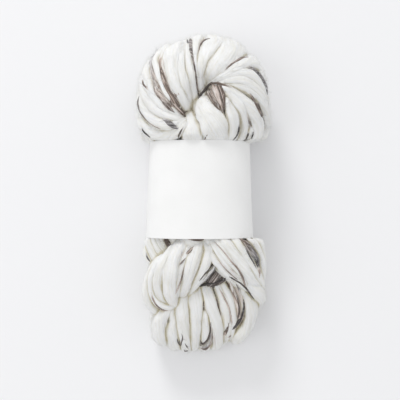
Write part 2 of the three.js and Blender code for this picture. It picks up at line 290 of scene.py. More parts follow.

# Dyed fibres that run over the strands, on the head and on the foot, and dark lines among them that stand for
# painted shade in slits, gaps and under edges. A row is x, y and half the width.
# Fibres of a plied line are wound closely round it.
LINES = {
    "twist": dict(
        dye=(1, 0.95, 0.9, 0.8, 0.78, 0.76, 0.78, 0.8, 0.8), grey=(0.3, 0.3, 0.5, 0.6, 0.6), plied=True,
        rows=[
            (-0.6, 66, 0.4), (-1.6, 71, 0.5), (-2.6, 79, 0.5), (-3.6, 86.5, 0.4), (-4.6, 92, 0.7),
            (-5.6, 98, 1.7), (-6.1, 103, 2), (-6.6, 107.5, 1.3), (-7, 110, 0.5),
        ],
    ),
    "corner": dict(dye=(0.6, 0.8, 0.85, 0.85, 0.75), grey=0.3, rows=[
        (-1.2, 94, 0.2), (-0.6, 99, 0.6), (0.6, 103.4, 0.8), (3.4, 106.4, 0.9), (7.6, 108, 0.4),
    ]),
    "speck": dict(dye=(0.6, 0.9, 0.6), grey=0.8, rows=[
        (-8.2, 103.5, 0.2), (-8.7, 105.9, 0.6), (-9, 108, 0.2),
    ]),
    "faint_line": dict(dye=(0.3, 0.5, 0.4, 0.2), grey=1, rows=[
        (-10.3, 104, 0.3), (-10.9, 95, 0.4), (-10.8, 85, 0.4), (-9.8, 76, 0.2),
    ]),
    "broad_shade": dict(dye=(0.3, 0.5, 0.82, 0.9, 0.88, 0.7), rows=[
        (9.4, 76.4, 0.3), (15.2, 81.3, 0.3), (21.6, 87.2, 0.5), (26.3, 90.8, 0.8), (31, 93.4, 0.7),
        (35, 94.5, 0.2),
    ]),
    "grey_patch": dict(dye=(0.6, 0.75, 0.8, 0.8, 0.7), grey=0.9, plied=True, rows=[
        (-26.5, 50, 0.4), (-23.3, 48, 1.4), (-20.2, 45.6, 1.7), (-17.2, 43.5, 1.2), (-14.8, 42.4, 0.4),
    ]),
    "left_brown_line": dict(dye=(0.75, 0.75, 0.8, 0.85, 0.85, 0.75, 0.5), grey=(0.8, 0.6, 0.2, 0), rows=[
        (-43.4, 67.5, 0.3), (-44.2, 62, 0.7), (-42.9, 56.5, 0.5), (-40, 51.8, 0.35), (-34.6, 46.7, 0.35),
        (-29.5, 43.7, 0.3), (-23.2, 41.9, 0.2),
    ]),
    "left_brown_end": dict(dye=(0.4, 0.8, 0.85, 0.7), rows=[
        (-34.5, 69, 0.2), (-37.8, 72.2, 0.5), (-40.2, 75.2, 0.6), (-40.8, 78.6, 0.3),
    ]),
    # a dark line along the head's outline at its lower left corner: painted shade
    "corner_line": dict(dye=(0.3, 0.9, 1, 0.9), grey=0.9, rows=[
        (-42, 46, 0.2), (-40.8, 42.6, 0.4), (-38.2, 39.9, 0.5), (-34.4, 37, 0.5),
    ]),
    # a near-black line along the hollow under the strands over it: partly dark fibre, partly painted shade
    "hollow_line": dict(dye=(0.95, 1, 1, 1, 0.9), grey=0.7, rows=[
        (-1, 63.4, 0.3), (0.2, 66.2, 0.8), (3, 69.9, 0.9), (6.4, 73.9, 0.7), (9.5, 76.4, 0.5),
    ]),
    "brown_line": dict(dye=(0.95, 0.9, 0.88, 0.75, 0.5, 0.35, 0.2), rows=[
        (6.5, 74.9, 0.5), (11, 75, 0.8), (16.4, 73.3, 0.7), (22, 71.1, 0.5), (28.3, 68.2, 0.2),
        (34, 63.5, 0.15),
    ]),
    "brown_right": dict(dye=(0.5, 0.8, 0.88, 0.9, 0.9, 0.8), grey=0.1, rows=[
        (34.8, 68.6, 0.2), (37, 65.6, 0.7), (38.6, 61.8, 0.9), (40.4, 58.4, 1.1), (42.6, 54.8, 0.9),
        (45, 51, 0.3),
    ]),
    "brown_right_edge": dict(dye=(0.5, 0.8, 0.85, 0.9, 0.85, 0.7), grey=0.2, rows=[
        (40.4, 63.6, 0.2), (42.3, 59.8, 0.5), (44, 56, 0.8), (45.5, 52.2, 0.9), (47, 48.5, 0.5),
        (47.2, 44.5, 0.3),
    ]),
    # Near-black lines in the slits between strands by the band's edge: painted shade in the gaps
    "slit_inner": dict(dye=(0.2, 0.9, 1, 1, 1), grey=0.9, rows=[
        (27.6, 47.5, 0.2), (27.8, 44.3, 0.5), (27.3, 40.5, 0.6), (25.2, 36.6, 0.6), (23.2, 33, 0.5),
    ]),
    "slit_mid": dict(dye=(0.3, 1, 1, 1), grey=0.9, rows=[
        (35.6, 42, 0.2), (34.8, 39.2, 0.4), (32.8, 35.8, 0.5), (30.8, 32.5, 0.5),
    ]),
    "slit_edge": dict(dye=(0.3, 1, 1, 1), grey=0.9, rows=[
        (38.3, 43, 0.2), (38.2, 39.4, 0.4), (36.7, 35.6, 0.5), (34.6, 32, 0.4),
    ]),
    "slit_outer": dict(dye=(0.2, 0.7, 0.8, 0.3), grey=0.5, rows=[
        (32.4, 54.8, 0.15), (33.7, 51.3, 0.3), (35.8, 46, 0.35), (36.5, 42.8, 0.15),
    ]),
    "head_left_slit": dict(dye=(0.5, 0.85, 0.9, 0.8), grey=0.4, rows=[
        (-11, 44, 0.2), (-13, 41.2, 0.5), (-14.6, 38, 0.6), (-15.8, 34.5, 0.5),
    ]),
    "brown_spot": dict(dye=(0.6, 0.9, 0.9), rows=[(5.8, 39.4, 0.2), (4.9, 37.2, 0.5), (3.4, 34.5, 0.5)]),
    "shoulder_line": dict(dye=(0.5, 0.75, 0.8, 0.7), grey=1, rows=[
        (-39.4, -45.5, 0.2), (-38.6, -49, 0.4), (-36.2, -52.6, 0.5), (-33.4, -55.6, 0.3),
    ]),
    "left_crease": dict(dye=(0.3, 0.75, 0.85, 0.95, 0.7), rows=[
        (-35.5, -73, 0.15), (-33.8, -79.5, 0.35), (-30.6, -84.7, 0.5), (-26.5, -87.7, 0.6),
        (-23, -88.4, 0.3),
    ]),
    "beige_line": dict(dye=(0.5, 0.7, 0.75, 0.8, 0.75), rows=[
        (-10.2, -50, 0.15), (-11.3, -56, 0.3), (-12.6, -62, 0.35), (-14.8, -69, 0.4), (-18, -76, 0.4),
    ]),
    # Dark lines in the slits between strands by the band's edge on the foot: painted shade in the gaps
    "foot_left_slit": dict(dye=(0.65, 0.8, 0.85, 0.65), rows=[
        (-3.6, -40, 0.2), (-6, -42.8, 0.7), (-8.6, -45, 0.8), (-10.4, -46.4, 0.3),
    ]),
    "left_pale_slit": dict(dye=(0.5, 0.7, 0.5), rows=[
        (-10.2, -42, 0.2), (-12.1, -45.7, 0.4), (-14.2, -49.2, 0.3),
    ]),
    "left_low_slit": dict(dye=(0.7, 0.8, 0.6), grey=0.3, rows=[
        (-9.8, -48.4, 0.15), (-12.3, -51.4, 0.5), (-15.2, -54.6, 0.2),
    ]),
    "striped_line": dict(dye=1, grey=0.6, rows=[
        (10.3, -52, 0.15), (7.2, -56, 0.3), (3.2, -60.8, 0.35), (-0.2, -65.6, 0.25),
    ]),
    "hollow_edge": dict(dye=1, grey=0.8, rows=[
        (18.8, -60.5, 0.6), (19, -63.4, 1), (16, -65.8, 0.8), (10.5, -67.6, 0.6), (5.4, -68.5, 0.8),
        (0.4, -70.2, 0.8), (-3.5, -71, 0.3),
    ]),
    # a dark line right under the band's edge: painted shadow of the band's edge on the yarn
    "shadow_under_band": dict(dye=(0.8, 0.95, 1, 0.9), rows=[
        (-9, -34.9, 0.4), (-3.5, -35.6, 0.9), (0.5, -35.6, 1), (4, -34.9, 0.5),
    ]),
    "inner_line": dict(dye=(0.55, 0.65, 0.7, 0.75, 0.75), rows=[
        (7.9, -42, 0.15), (12, -48, 0.2), (16.4, -54, 0.3), (22.2, -60.2, 0.3), (27.5, -65, 0.2),
    ]),
    "pink_line": dict(dye=(0.4, 0.6, 0.5), rows=[(19, -52.8, 0.15), (22.9, -57.4, 0.3), (27.2, -62, 0.25)]),
    "right_line": dict(dye=(0.65, 0.68, 0.7, 0.76, 0.82, 0.85, 0.9), rows=[
        (10.4, -37, 0.15), (14, -40.8, 0.25), (17.6, -44.7, 0.3), (22.2, -50.8, 0.4), (28, -57.6, 0.6),
        (31, -64, 0.7), (33, -70, 0.7),
    ]),
    "olive_line": dict(dye=(0.3, 0.5, 0.3), rows=[
        (21.3, -37, 0.2), (24.8, -41.4, 0.4), (29.3, -46.5, 0.2),
    ]),
    "right_dark_line": dict(dye=(0.7, 0.95, 1, 1, 0.7), grey=0.9, rows=[
        (31.9, -40.4, 0.15), (33.9, -44.2, 0.4), (36.3, -48.6, 0.4), (38.9, -53, 0.35), (41.2, -57, 0.15),
    ]),
    "right_dark_edge": dict(dye=(0.7, 0.95, 1, 1, 0.7), grey=0.9, rows=[
        (36.3, -41.2, 0.15), (39, -45, 0.35), (41.4, -49.2, 0.35), (42.6, -53.5, 0.3), (42.8, -57.5, 0.15),
    ]),
    "right_dark_top": dict(dye=(1, 1, 0.7), grey=0.8, rows=[
        (31.8, -33.5, 0.5), (33.8, -36.4, 0.7), (36.4, -39.5, 0.3),
    ]),
    "right_pink_end": dict(dye=(0.5, 0.65, 0.6), rows=[
        (42.4, -54.5, 0.5), (43.1, -59, 0.9), (43.3, -64, 0.2),
    ]),
    "right_shade": dict(dye=1, grey=0.6, rows=[
        (20.5, -62, 0.3), (25.2, -64.6, 0.5), (29, -67, 0.5), (33, -70.6, 0.6), (36.8, -75.4, 0.6),
        (39.8, -80, 0.2),
    ]),
    "short_dark": dict(dye=0.95, rows=[(3.4, -80.5, 0.4), (3.1, -85, 0.6), (3.3, -89, 0.2)]),
    "bow_inner": dict(dye=(0.7, 0.9, 1, 1, 1, 0.9), grey=0.5, rows=[
        (8.4, -96, 0.3), (8, -101, 0.6), (7, -107, 0.7), (5, -112.3, 0.7), (2.2, -115, 0.7),
        (0.4, -111.8, 0.5),
    ]),
    "bow_outer": dict(dye=(0.6, 0.75, 0.75, 0.8, 0.7), grey=0.2, rows=[
        (9.2, -100, 0.2), (9.2, -108, 0.5), (7.7, -115.5, 0.6), (4.2, -119.5, 0.6), (0.2, -118.3, 0.4),
    ]),
    "slant_line": dict(dye=(0.3, 0.55, 0.6, 0.4), rows=[
        (9.7, -101, 0.2), (10.4, -107, 0.5), (11.3, -114, 0.5), (11.4, -119, 0.3),
    ]),
    "brown_left": dict(dye=(0.85, 0.88, 0.88, 0.8, 0.65), rows=[
        (9.8, -70, 0.3), (11.4, -77, 0.6), (13, -83.5, 0.8), (15, -90, 0.6), (16.2, -94.5, 0.2),
    ]),
    "yellow_line": dict(dye=(0.6, 0.72, 0.74, 0.74, 0.65), rows=[
        (13.8, -71, 0.2), (17.2, -77.5, 0.5), (20.2, -83.5, 0.6), (22.3, -90.5, 0.5), (24, -99, 0.3),
    ]),
    "end_spot": dict(dye=(0.6, 0.9, 0.7), rows=[
        (23.6, -106.7, 0.15), (22.6, -109, 0.5), (21.4, -110.2, 0.2),
    ]),
    "grey_line": dict(dye=(0.6, 0.85, 1, 0.9), grey=0.3, rows=[
        (26.2, -75, 0.2), (28.4, -83, 0.4), (29, -89.5, 0.6), (28, -95.5, 0.5),
    ]),
    "loop_dark_left": dict(dye=(0.9, 0.95, 0.8), rows=[
        (18.5, -64.5, 0.9), (20.3, -68.5, 0.9), (22.7, -74, 0.3),
    ]),
    "loop_beige_top": dict(dye=(0.6, 0.5, 0.3), rows=[
        (22.3, -66, 0.9), (23.3, -70, 0.9), (24.2, -75, 0.4),
    ]),
    "loop_grey_top": dict(dye=(0.7, 0.8, 0.4), grey=0.8, rows=[
        (26, -67.5, 0.5), (28.2, -71.5, 0.5), (29.6, -76, 0.2),
    ]),
    # a near-black wedge inside the big right loop: painted shadow
    "black_wedge": dict(dye=(0.8, 1, 1, 1, 1, 1), grey=0.9, rows=[
        (32.2, -79.5, 0.2), (32.4, -86, 0.6), (31.4, -92.5, 0.9), (29, -97, 1.4), (25.8, -101.3, 1.1),
        (24.2, -103.5, 0.3),
    ]),
    "tip_left": dict(dye=0.95, grey=0.5, rows=[
        (-16.9, -108.5, 0.15), (-16.2, -112.5, 0.3), (-14.4, -116.3, 0.35),
    ]),
    "tip_right": dict(dye=0.95, grey=0.5, rows=[
        (-13.3, -104.5, 0.15), (-12.5, -109, 0.3), (-13.4, -113, 0.35), (-14.3, -116.5, 0.3),
    ]),
    "tip_line": dict(dye=0.95, grey=0.7, rows=[
        (-11.3, -112.5, 0.15), (-9.9, -115.5, 0.25), (-8.3, -118, 0.25),
    ]),
    "tip_hook": dict(dye=0.95, grey=0.5, rows=[
        (-12, -118.8, 0.2), (-11, -120.8, 0.3), (-9.2, -120.8, 0.3), (-8, -118.6, 0.3),
        (-6.9, -120.6, 0.25),
    ]),
    "grey_twist": dict(dye=(0.5, 0.74, 0.78, 0.78, 0.8, 0.8), grey=(0.6, 0.9, 1), plied=True, rows=[
        (31, 86.5, 0.3), (36.5, 86.2, 1), (41.2, 82.8, 1.8), (44.8, 78, 1.9), (47.6, 73, 1.5),
        (49, 68.5, 0.5),
    ]),
    "brown_tail": dict(dye=(0.75, 0.8, 0.88, 0.95), rows=[
        (-20, 61.5, 0.8), (-16.5, 57.8, 1.5), (-12.8, 54.2, 1.3), (-9.5, 51.2, 0.5),
    ]),
    "brown_low": dict(dye=(0.7, 0.74, 0.76, 0.8), grey=0.3, rows=[
        (-27.5, 64.5, 0.6), (-24, 60, 1.4), (-20.5, 56.3, 1.2), (-17.5, 53.8, 0.4),
    ]),
}

# The foot's strands have rows of x, y, height of the top and half the width that shows.
# Plies come out of the band, cross over the foot and turn in under it.
PLIES = {
    "left_shoulder": dict(rows=[
        (-36.2, -28, 43, 3.4), (-36, -38, 44.5, 3.8), (-33, -46, 45.5, 4), (-28.5, -53, 45, 3.6),
        (-22, -59, 42, 3),
    ]),
    "shoulder_edge": dict(rows=[
        (-39.2, -40, 41, 0.8), (-38.6, -46, 41.5, 1.3), (-35.3, -52, 42, 1.6), (-30.5, -57.5, 41, 1.6),
    ]),
    "left_thin": dict(rows=[
        (-33, -29, 48, 2), (-31.8, -37, 49, 2.1), (-28.7, -43.5, 49, 2.2), (-22.5, -50, 46, 2),
    ]),
    "left_inner_thin": dict(rows=[
        (-29.8, -29, 50.5, 1.5), (-28.7, -36, 51, 1.6), (-26.3, -41, 51, 1.7), (-21, -47, 48, 1.7),
    ]),
    "left_inmost_thin": dict(rows=[
        (-27, -29, 52, 1.3), (-26, -35, 52.5, 1.4), (-24, -39.5, 52.3, 1.4), (-19.5, -44.5, 49, 1.3),
    ]),
    "dark_wedge": dict(dye=(1, 0.95, 0.95, 1), grey=0.2, lift=0.4, rows=[
        (-23.2, -31, 54, 1.6), (-22.8, -36, 54.8, 2), (-20.8, -40.2, 55, 2.1), (-17, -44, 53, 1.8),
    ]),
    "edge_outer": dict(rows=[
        (-26, -48, 51, 2), (-33, -57, 50, 2.8), (-37.3, -68, 46, 3.2), (-37.8, -77, 42, 3.4),
        (-34.8, -86, 38.5, 3.5), (-28.5, -91.5, 36.5, 3), (-22, -92, 34, 2.4),
    ]),
    "left_outer": dict(rows=[
        (-14, -38, 57, 1.8), (-19.5, -43.5, 58.5, 2.6), (-24.8, -51, 58.5, 3.1), (-28.8, -60, 56, 3.4),
        (-29.8, -70, 51.5, 3.5), (-27.5, -78, 47, 3.2), (-22.5, -83, 42, 2.6),
    ]),
    "edge_curl": dict(lift=0.5, rows=[
        (-25, -46.5, 54, 1.5), (-30.5, -55, 54.5, 2), (-34, -65, 50.5, 2.2), (-34, -74, 47, 2.3),
        (-31, -81, 45.8, 2.3), (-26, -85, 45, 2.3), (-20, -84.6, 44.5, 2.3), (-14, -81, 42, 2),
    ]),
    "left_broad": dict(rows=[
        (-8, -28, 54, 3), (-12.5, -38, 59.5, 4), (-17, -46, 61.8, 4.8), (-20.3, -56, 61, 5.2),
        (-21.7, -67, 57, 5), (-21, -76, 51.5, 4.2), (-18.5, -83, 45, 3.2),
    ]),
    "left_slim": dict(rows=[
        (-4, -29, 55, 1.6), (-7, -40, 59.5, 1.9), (-10.8, -48, 60.8, 2), (-13.7, -57, 60, 2.1),
        (-15.3, -66, 56.5, 2), (-17, -75, 51, 1.8),
    ]),
    "centre_broad": dict(rows=[
        (3, -28, 54, 3), (0.5, -36, 58, 3.6), (-2.5, -44, 61.5, 4.3), (-6, -53, 62, 4.7),
        (-9, -62, 58.5, 4.6), (-12, -71, 52, 4.2), (-14.5, -78, 44, 3.2),
    ]),
    "centre_narrow": dict(rows=[
        (9, -34, 56, 2.2), (7, -43, 60, 2.6), (4.8, -51, 60.5, 3), (1.6, -58.5, 58, 3),
        (-2.4, -66, 53.5, 2.8), (-6.5, -73, 46.5, 2.3),
    ]),
    "striped": dict(dye=(0.8, 0.7, 0.66, 0.66, 0.7, 0.78), grey=0.9, lift=0.4, rows=[
        (12.5, -51, 57.5, 0.8), (9.7, -55.5, 57.8, 1.4), (6, -60, 56, 1.7), (2, -64.8, 52.8, 1.8),
        (-1.7, -69, 48.5, 1.5), (-4.5, -73, 44, 0.8),
    ]),
    "hollow_left": dict(dye=(0.9, 0.85, 0.85, 0.95), grey=(0.3, 0.4, 0.6), rows=[
        (17, -53, 51, 2.4), (13, -60, 50, 3), (8, -67, 47, 3), (2, -73, 41, 2.4),
    ]),
    "hollow_right": dict(dye=(0.92, 0.88, 0.9, 1), grey=0.5, rows=[
        (20, -58, 50, 2.2), (17, -63, 48.5, 3), (12, -67.5, 46, 3), (5, -72, 40, 2.4),
    ]),
    "right_inner": dict(rows=[
        (1, -28, 55, 1.8), (4.4, -40, 59.5, 2), (9.5, -48.5, 60.8, 2.1), (15.5, -55.3, 59, 2.1),
        (21, -60.3, 56, 1.9), (26, -63.2, 53.5, 1.4), (31, -66, 49, 1),
    ]),
    "right_second": dict(rows=[
        (5.5, -28, 57, 2), (10, -38, 61, 2.3), (15.6, -47.8, 61.2, 2.5), (21.6, -56.6, 58.5, 2.5),
        (27.2, -63.2, 55, 2.4), (32, -68.4, 51, 2), (37, -74, 44, 1.4),
    ]),
    "right_third": dict(rows=[
        (8.5, -28, 58, 1.8), (12.8, -38, 62, 2), (18.5, -47.3, 62, 2.2), (24.6, -55.3, 59.2, 2.2),
        (29, -62, 55.8, 1.9), (31.5, -67.5, 52.8, 1.3),
    ]),
    "right_broad": dict(rows=[
        (13, -28, 59, 3.4), (18, -38, 61.5, 3.7), (24, -46, 60.8, 4.1), (30.7, -54.5, 58, 4.5),
        (36.4, -63, 53, 4.8), (41, -71, 46.5, 4.4), (44.5, -78, 37, 3.6),
    ]),
    "right_outer": dict(rows=[
        (21.5, -28, 56.5, 2.8), (25, -36, 58.5, 3), (31, -44.8, 57.3, 3.3), (36.7, -53.5, 54.2, 3.4),
        (41.3, -62, 49.5, 3.2), (44, -69, 43.5, 2.6),
    ]),
    "right_brown": dict(
        dye=(0.85, 0.8, 0.78, 0.76, 0.78, 0.8), grey=(0, 0.1, 0.5, 0.9, 1, 1), lift=1,
        rows=[
            (27.5, -32, 57, 0.6), (31, -36.6, 57, 1.1), (34.9, -41.7, 56, 1.7), (38.4, -47, 54.2, 2),
            (40.6, -51.7, 52.5, 1.4), (42, -56.5, 50, 0.5),
        ],
    ),
    "right_edge": dict(rows=[
        (34, -29, 50.5, 2.2), (37.5, -37.3, 52, 2.4), (41.5, -43.5, 49.5, 2.4), (44, -50, 47.3, 2.3),
        (45, -57, 45, 2.3), (44.8, -64, 41, 2.2), (43, -71, 35, 2),
    ]),
    "right_rim": dict(rows=[
        (38, -29, 42, 2.6), (43, -39, 42.5, 3), (45.3, -49, 40, 3), (45.6, -60, 37, 3), (43, -71, 30, 3),
    ]),
    "right_lowest": dict(rows=[
        (30, -62.5, 51.5, 2), (35.5, -67.8, 51, 3.6), (41, -73, 47.5, 4.5), (44.3, -79, 41, 4.4),
        (43, -85, 32, 3.4),
    ]),
    "short_end": dict(rows=[
        (3.2, -84, 41, 1.4), (3.7, -90, 43, 2.4), (4.1, -96, 41.5, 3), (4.4, -104, 38, 3),
        (3.6, -111, 32, 2.6),
    ]),
    "bow_fill": dict(dye=(0.4, 0.62, 0.66, 0.66, 0.6), grey=0.9, lift=0.4, rows=[
        (8.9, -98, 39.5, 0.5), (8.2, -106, 36, 1.3), (6.8, -112.6, 31.5, 1.7), (3.5, -117, 27.5, 1.8),
        (0.4, -115.6, 28, 1.1),
    ]),
    "thin_left": dict(lift=0.3, rows=[
        (9, -62, 42, 2), (13.2, -71, 45.2, 2.4), (15.9, -79, 45, 2.9), (17.2, -86, 43.3, 2.8),
        (18.2, -92, 40.8, 1.6), (18.8, -96, 38, 0.7),
    ]),
    "thin_mid": dict(lift=0.2, rows=[
        (13, -61, 42, 1.8), (17.8, -71, 46, 2), (21.2, -78.5, 45.3, 2.2), (23.3, -86, 43.5, 2.1),
        (24.5, -94, 40, 1.9), (24.3, -101.5, 35.5, 1.5),
    ]),
    "small_brown": dict(dye=(0.8, 0.85, 0.85, 0.7), lift=0.5, rows=[
        (19.6, -92, 41, 0.4), (19.7, -98, 38.5, 1), (18.4, -104, 35, 1.2), (17.3, -109, 31, 0.5),
    ]),
    "small_white": dict(rows=[
        (22, -94, 40, 0.8), (21.8, -100, 37.5, 1.3), (20.6, -107, 32.5, 1.5), (19.5, -111, 28, 1.2),
    ]),
    "white_end": dict(lift=0.4, rows=[
        (23.2, -97, 38, 0.8), (23.4, -102, 36, 1.4), (23.3, -107, 32.5, 1.4),
    ]),
    "beige": dict(dye=(0.74, 0.7, 0.68, 0.7, 0.74, 0.72), lift=0.2, rows=[
        (19, -64, 44, 1.2), (23.4, -75, 44.8, 1.8), (26.2, -83, 43.8, 1.8), (27.4, -90, 41, 1.8),
        (27, -96.5, 37.5, 1.6), (25.5, -102, 34, 1),
    ]),
    "pale_grey": dict(dye=(0.4, 0.55, 0.6, 0.7), rows=[
        (24, -63, 44, 1.6), (27.8, -73, 44.5, 2), (30.3, -83, 42.5, 2.1), (30.5, -90, 39.8, 1.9),
        (28.5, -97, 36, 1.4),
    ]),
}

# Loops hang out of the foot from under the plies. rim is where a loop turns to the back.
LOOPS = {
    "left_outer": dict(rim=(-31, -116.5, 5.5), rows=[
        (-15, -81, 38, 2.5), (-22, -87.5, 42, 3.6), (-28, -94, 41.5, 5), (-30, -102.5, 37.5, 6),
        (-29.5, -110.5, 31, 6),
    ]),
    "left_inner": dict(rim=(-20.5, -120.5, 6), rows=[
        (-13, -84, 38, 2), (-17.5, -92, 41, 3.4), (-20.3, -100, 40, 5), (-20.8, -108, 35.5, 5.8),
        (-20.3, -115, 28, 6),
    ]),
    "straight_left": dict(rim=(-9.6, -123, 2.8), rows=[
        (-13, -68, 41, 3.6), (-13, -78, 46, 4.3), (-12.8, -88, 46.5, 4.4), (-12.2, -99, 43.2, 4.3),
        (-10.9, -110, 36.8, 3.8), (-9.8, -118, 28, 3),
    ]),
    "straight_right": dict(rim=(-3.8, -122.2, 2.8), rows=[
        (-3, -66, 41, 3.8), (-3.2, -76, 46.5, 4.6), (-3.4, -88, 45.8, 4.6), (-3.7, -99, 42, 4.3),
        (-4.1, -109, 36, 3.6), (-4.2, -117, 27.5, 3),
    ]),
    "slanting": dict(rim=(12, -121.5, 3.4), rows=[
        (3, -64, 42, 3.2), (5.6, -75, 47, 3.6), (8.8, -85.5, 46.5, 3.7), (11.5, -94, 43.8, 3.6),
        (13, -103.5, 39, 3.5), (13.2, -113, 31.5, 3.4),
    ]),
    "low_end": dict(rim=(4, -123.2, 4), rows=[
        (4, -84, 38, 2), (5, -97, 37, 3.4), (5.5, -107, 32, 4), (4.8, -115.5, 25.5, 4.2),
    ]),
    "low_middle": dict(rim=(18, -117.5, 3.6), rows=[
        (12, -78, 40, 2.2), (17.5, -90, 39.5, 3), (19.8, -100, 35.5, 3.4), (19.5, -109.5, 28.5, 3.6),
    ]),
    "low_right": dict(rim=(24.5, -114.5, 4), rows=[
        (20, -66, 40, 2.5), (25, -80, 41, 4), (27, -92, 38, 4.2), (25.5, -103, 31.5, 4.2),
    ]),
    "far_right": dict(rim=(27.5, -114.8, 6), rows=[
        (26, -63, 41, 4.5), (33, -72, 43.5, 5), (37.2, -81, 43.5, 5.4), (38.2, -90, 40.5, 5.8),
        (36, -99.5, 37, 6.2), (31, -107.5, 32, 6.2),
    ]),
}

# Bundles that fill the sides, the back and the inside. A row is x, y, z of the bundle's middle and
# half its width, and the bundle is laid up from side to side with the given number of strands.
FOOT_BUNDLES = {
    "outer_left": dict(strands=3, rows=[
        (-20, -25, 36, 8), (-30, -45, 36, 8), (-32, -62, 34, 8), (-31, -76, 27, 8), (-26, -86, 17, 7),
        (-16, -84, 8, 7), (-10, -62, 7, 7), (-8, -30, 9, 7),
    ]),
    "inner_left": dict(strands=3, rows=[
        (-10, -25, 48, 8), (-18, -46, 50, 8), (-22, -60, 46, 8), (-22, -74, 38, 8), (-20, -84, 27, 7),
    ]),
    "centre_left": dict(strands=3, rows=[
        (2, -25, 48, 8), (-3, -44, 51, 9), (-7, -58, 47, 9), (-10, -72, 38, 8), (-10, -82, 28, 7),
    ]),
    "inner_right": dict(strands=3, rows=[
        (5, -25, 48, 8), (12, -44, 50, 8), (22, -57, 45, 8), (32, -68, 37, 7), (36, -76, 28, 7),
    ]),
    "outer_right": dict(strands=3, rows=[
        (20, -25, 44, 8), (30, -44, 44, 8), (36, -56, 39, 8), (38, -68, 31, 8), (33, -78, 19, 7),
        (24, -72, 8, 7), (20, -34, 9, 7),
    ]),
    "low_right": dict(strands=2, rows=[
        (28, -62, 34, 6), (37, -71, 30, 7), (38, -82, 22, 7), (28, -86, 12, 6), (16, -74, 8, 6),
    ]),
    "side_left": dict(strands=3, rows=[
        (-30, -26, 30, 8), (-34, -40, 28, 9), (-32, -56, 24, 9), (-24, -72, 18, 8), (-14, -84, 14, 7),
    ]),
    "side_right": dict(strands=3, rows=[
        (31, -26, 30, 8), (37, -42, 28, 9), (38, -56, 23, 9), (32, -70, 16, 8), (20, -80, 12, 7),
    ]),
    "under_left": dict(strands=3, rows=[
        (-26, -26, 18, 8), (-29, -42, 14, 9), (-25, -58, 9, 8), (-14, -76, 7, 8), (-8, -96, 6, 7),
    ]),
    "under_right": dict(strands=3, rows=[
        (27, -26, 18, 8), (32, -42, 15, 9), (28, -58, 9, 8), (18, -76, 7, 8), (9, -96, 6, 7),
    ]),
    "under_middle": dict(strands=4, rows=[
        (0, -26, 8, 10), (0, -45, 7, 11), (2, -62, 6, 11), (4, -80, 6, 10), (3, -98, 6, 8),
    ]),
    "loops_left": dict(strands=4, rows=[
        (-18, -72, 30, 9), (-22, -88, 31, 11), (-22, -102, 25, 11), (-19, -110, 15, 9), (-14, -96, 7, 8),
    ]),
    "loops_middle": dict(strands=4, rows=[
        (-3, -68, 32, 9), (-2, -86, 34, 10), (-1, -102, 27, 10), (0, -111, 15, 9), (0, -94, 7, 8),
    ]),
    "loops_right": dict(strands=4, rows=[
        (16, -66, 32, 9), (22, -82, 33, 11), (23, -96, 27, 11), (20, -104, 15, 9), (12, -90, 7, 8),
    ]),
    "edge_left": dict(strands=3, rows=[
        (-24, -76, 26, 7), (-30, -90, 27, 8), (-31, -103, 22, 8), (-28, -110, 13, 7), (-22, -96, 6, 6),
    ]),
    "edge_right": dict(strands=3, rows=[
        (30, -72, 28, 7), (36, -84, 27, 8), (35, -96, 22, 8), (29, -104, 13, 7), (22, -90, 6, 6),
    ]),
}
HEAD_BUNDLES = {
    "left": dict(strands=4, rows=[
        (-22, 22, 40, 10), (-24, 40, 44, 12), (-26, 58, 42, 13), (-26, 74, 34, 13), (-20, 66, 14, 10),
        (-14, 36, 10, 8),
    ]),
    "middle": dict(strands=5, rows=[
        (-2, 22, 48, 10), (-4, 44, 52, 12), (-8, 66, 50, 14), (-8, 86, 42, 14), (-6, 94, 30, 13),
        (-4, 80, 12, 11), (-2, 36, 9, 8),
    ]),
    "right": dict(strands=5, rows=[
        (16, 22, 44, 10), (20, 42, 48, 12), (22, 62, 47, 14), (20, 82, 42, 14), (18, 92, 30, 13),
        (14, 76, 12, 11), (10, 36, 9, 8),
    ]),
    "far_right": dict(strands=4, rows=[
        (28, 22, 34, 8), (34, 40, 36, 9), (37, 56, 34, 9), (36, 70, 28, 9), (28, 64, 14, 8),
        (20, 36, 10, 8),
    ]),
    "side_left": dict(strands=4, rows=[
        (-31, 22, 28, 9), (-37, 38, 26, 10), (-40, 52, 24, 10), (-37, 66, 18, 8), (-26, 66, 8, 7),
    ]),
    "side_right": dict(strands=4, rows=[
        (31, 22, 28, 9), (38, 38, 27, 10), (43, 52, 25, 10), (41, 66, 18, 8), (30, 66, 8, 7),
    ]),
    "pocket_left": dict(strands=2, rows=[
        (-29, 24, 41, 4), (-33.5, 38, 41, 5), (-36, 50, 40, 5), (-33, 62, 37, 5),
    ]),
    "pocket_right": dict(strands=2, rows=[
        (31, 24, 43, 4), (37, 40, 44, 5), (41, 52, 44, 5), (39, 64, 40, 5), (33, 74, 32, 4),
    ]),
}


def row_at(table, share):
    """Value of each column a share of the way down a short table."""
    place = share * (len(table) - 1)
    index = min(int(place), len(table) - 2)
    return [a + (b - a) * (place - index) for a, b in zip(table[index], table[index + 1])]


def smooth_path(rows, step=STEP):
    """Rows at even steps along a smooth curve through the given rows, which begin with a point."""
    rows = np.array(rows, dtype=float)
    gaps = np.maximum(np.linalg.norm(np.diff(rows[:, :3], axis=0), axis=1), step)
    knots = np.concatenate([[0], np.cumsum(gaps)])
    slopes = np.gradient(rows, knots, axis=0)
    path = []
    for place in np.linspace(0, knots[-1], max(int(knots[-1] / step), 4)):
        i = min(int(np.searchsorted(knots, place, side="right")) - 1, len(rows) - 2)
        gap = knots[i + 1] - knots[i]
        t = (place - knots[i]) / gap
        start = (1 + 2 * t) * (1 - t) ** 2 * rows[i] + t * (1 - t) ** 2 * gap * slopes[i]
        path.append(start + t * t * (3 - 2 * t) * rows[i + 1] + t * t * (t - 1) * gap * slopes[i + 1])
    return path


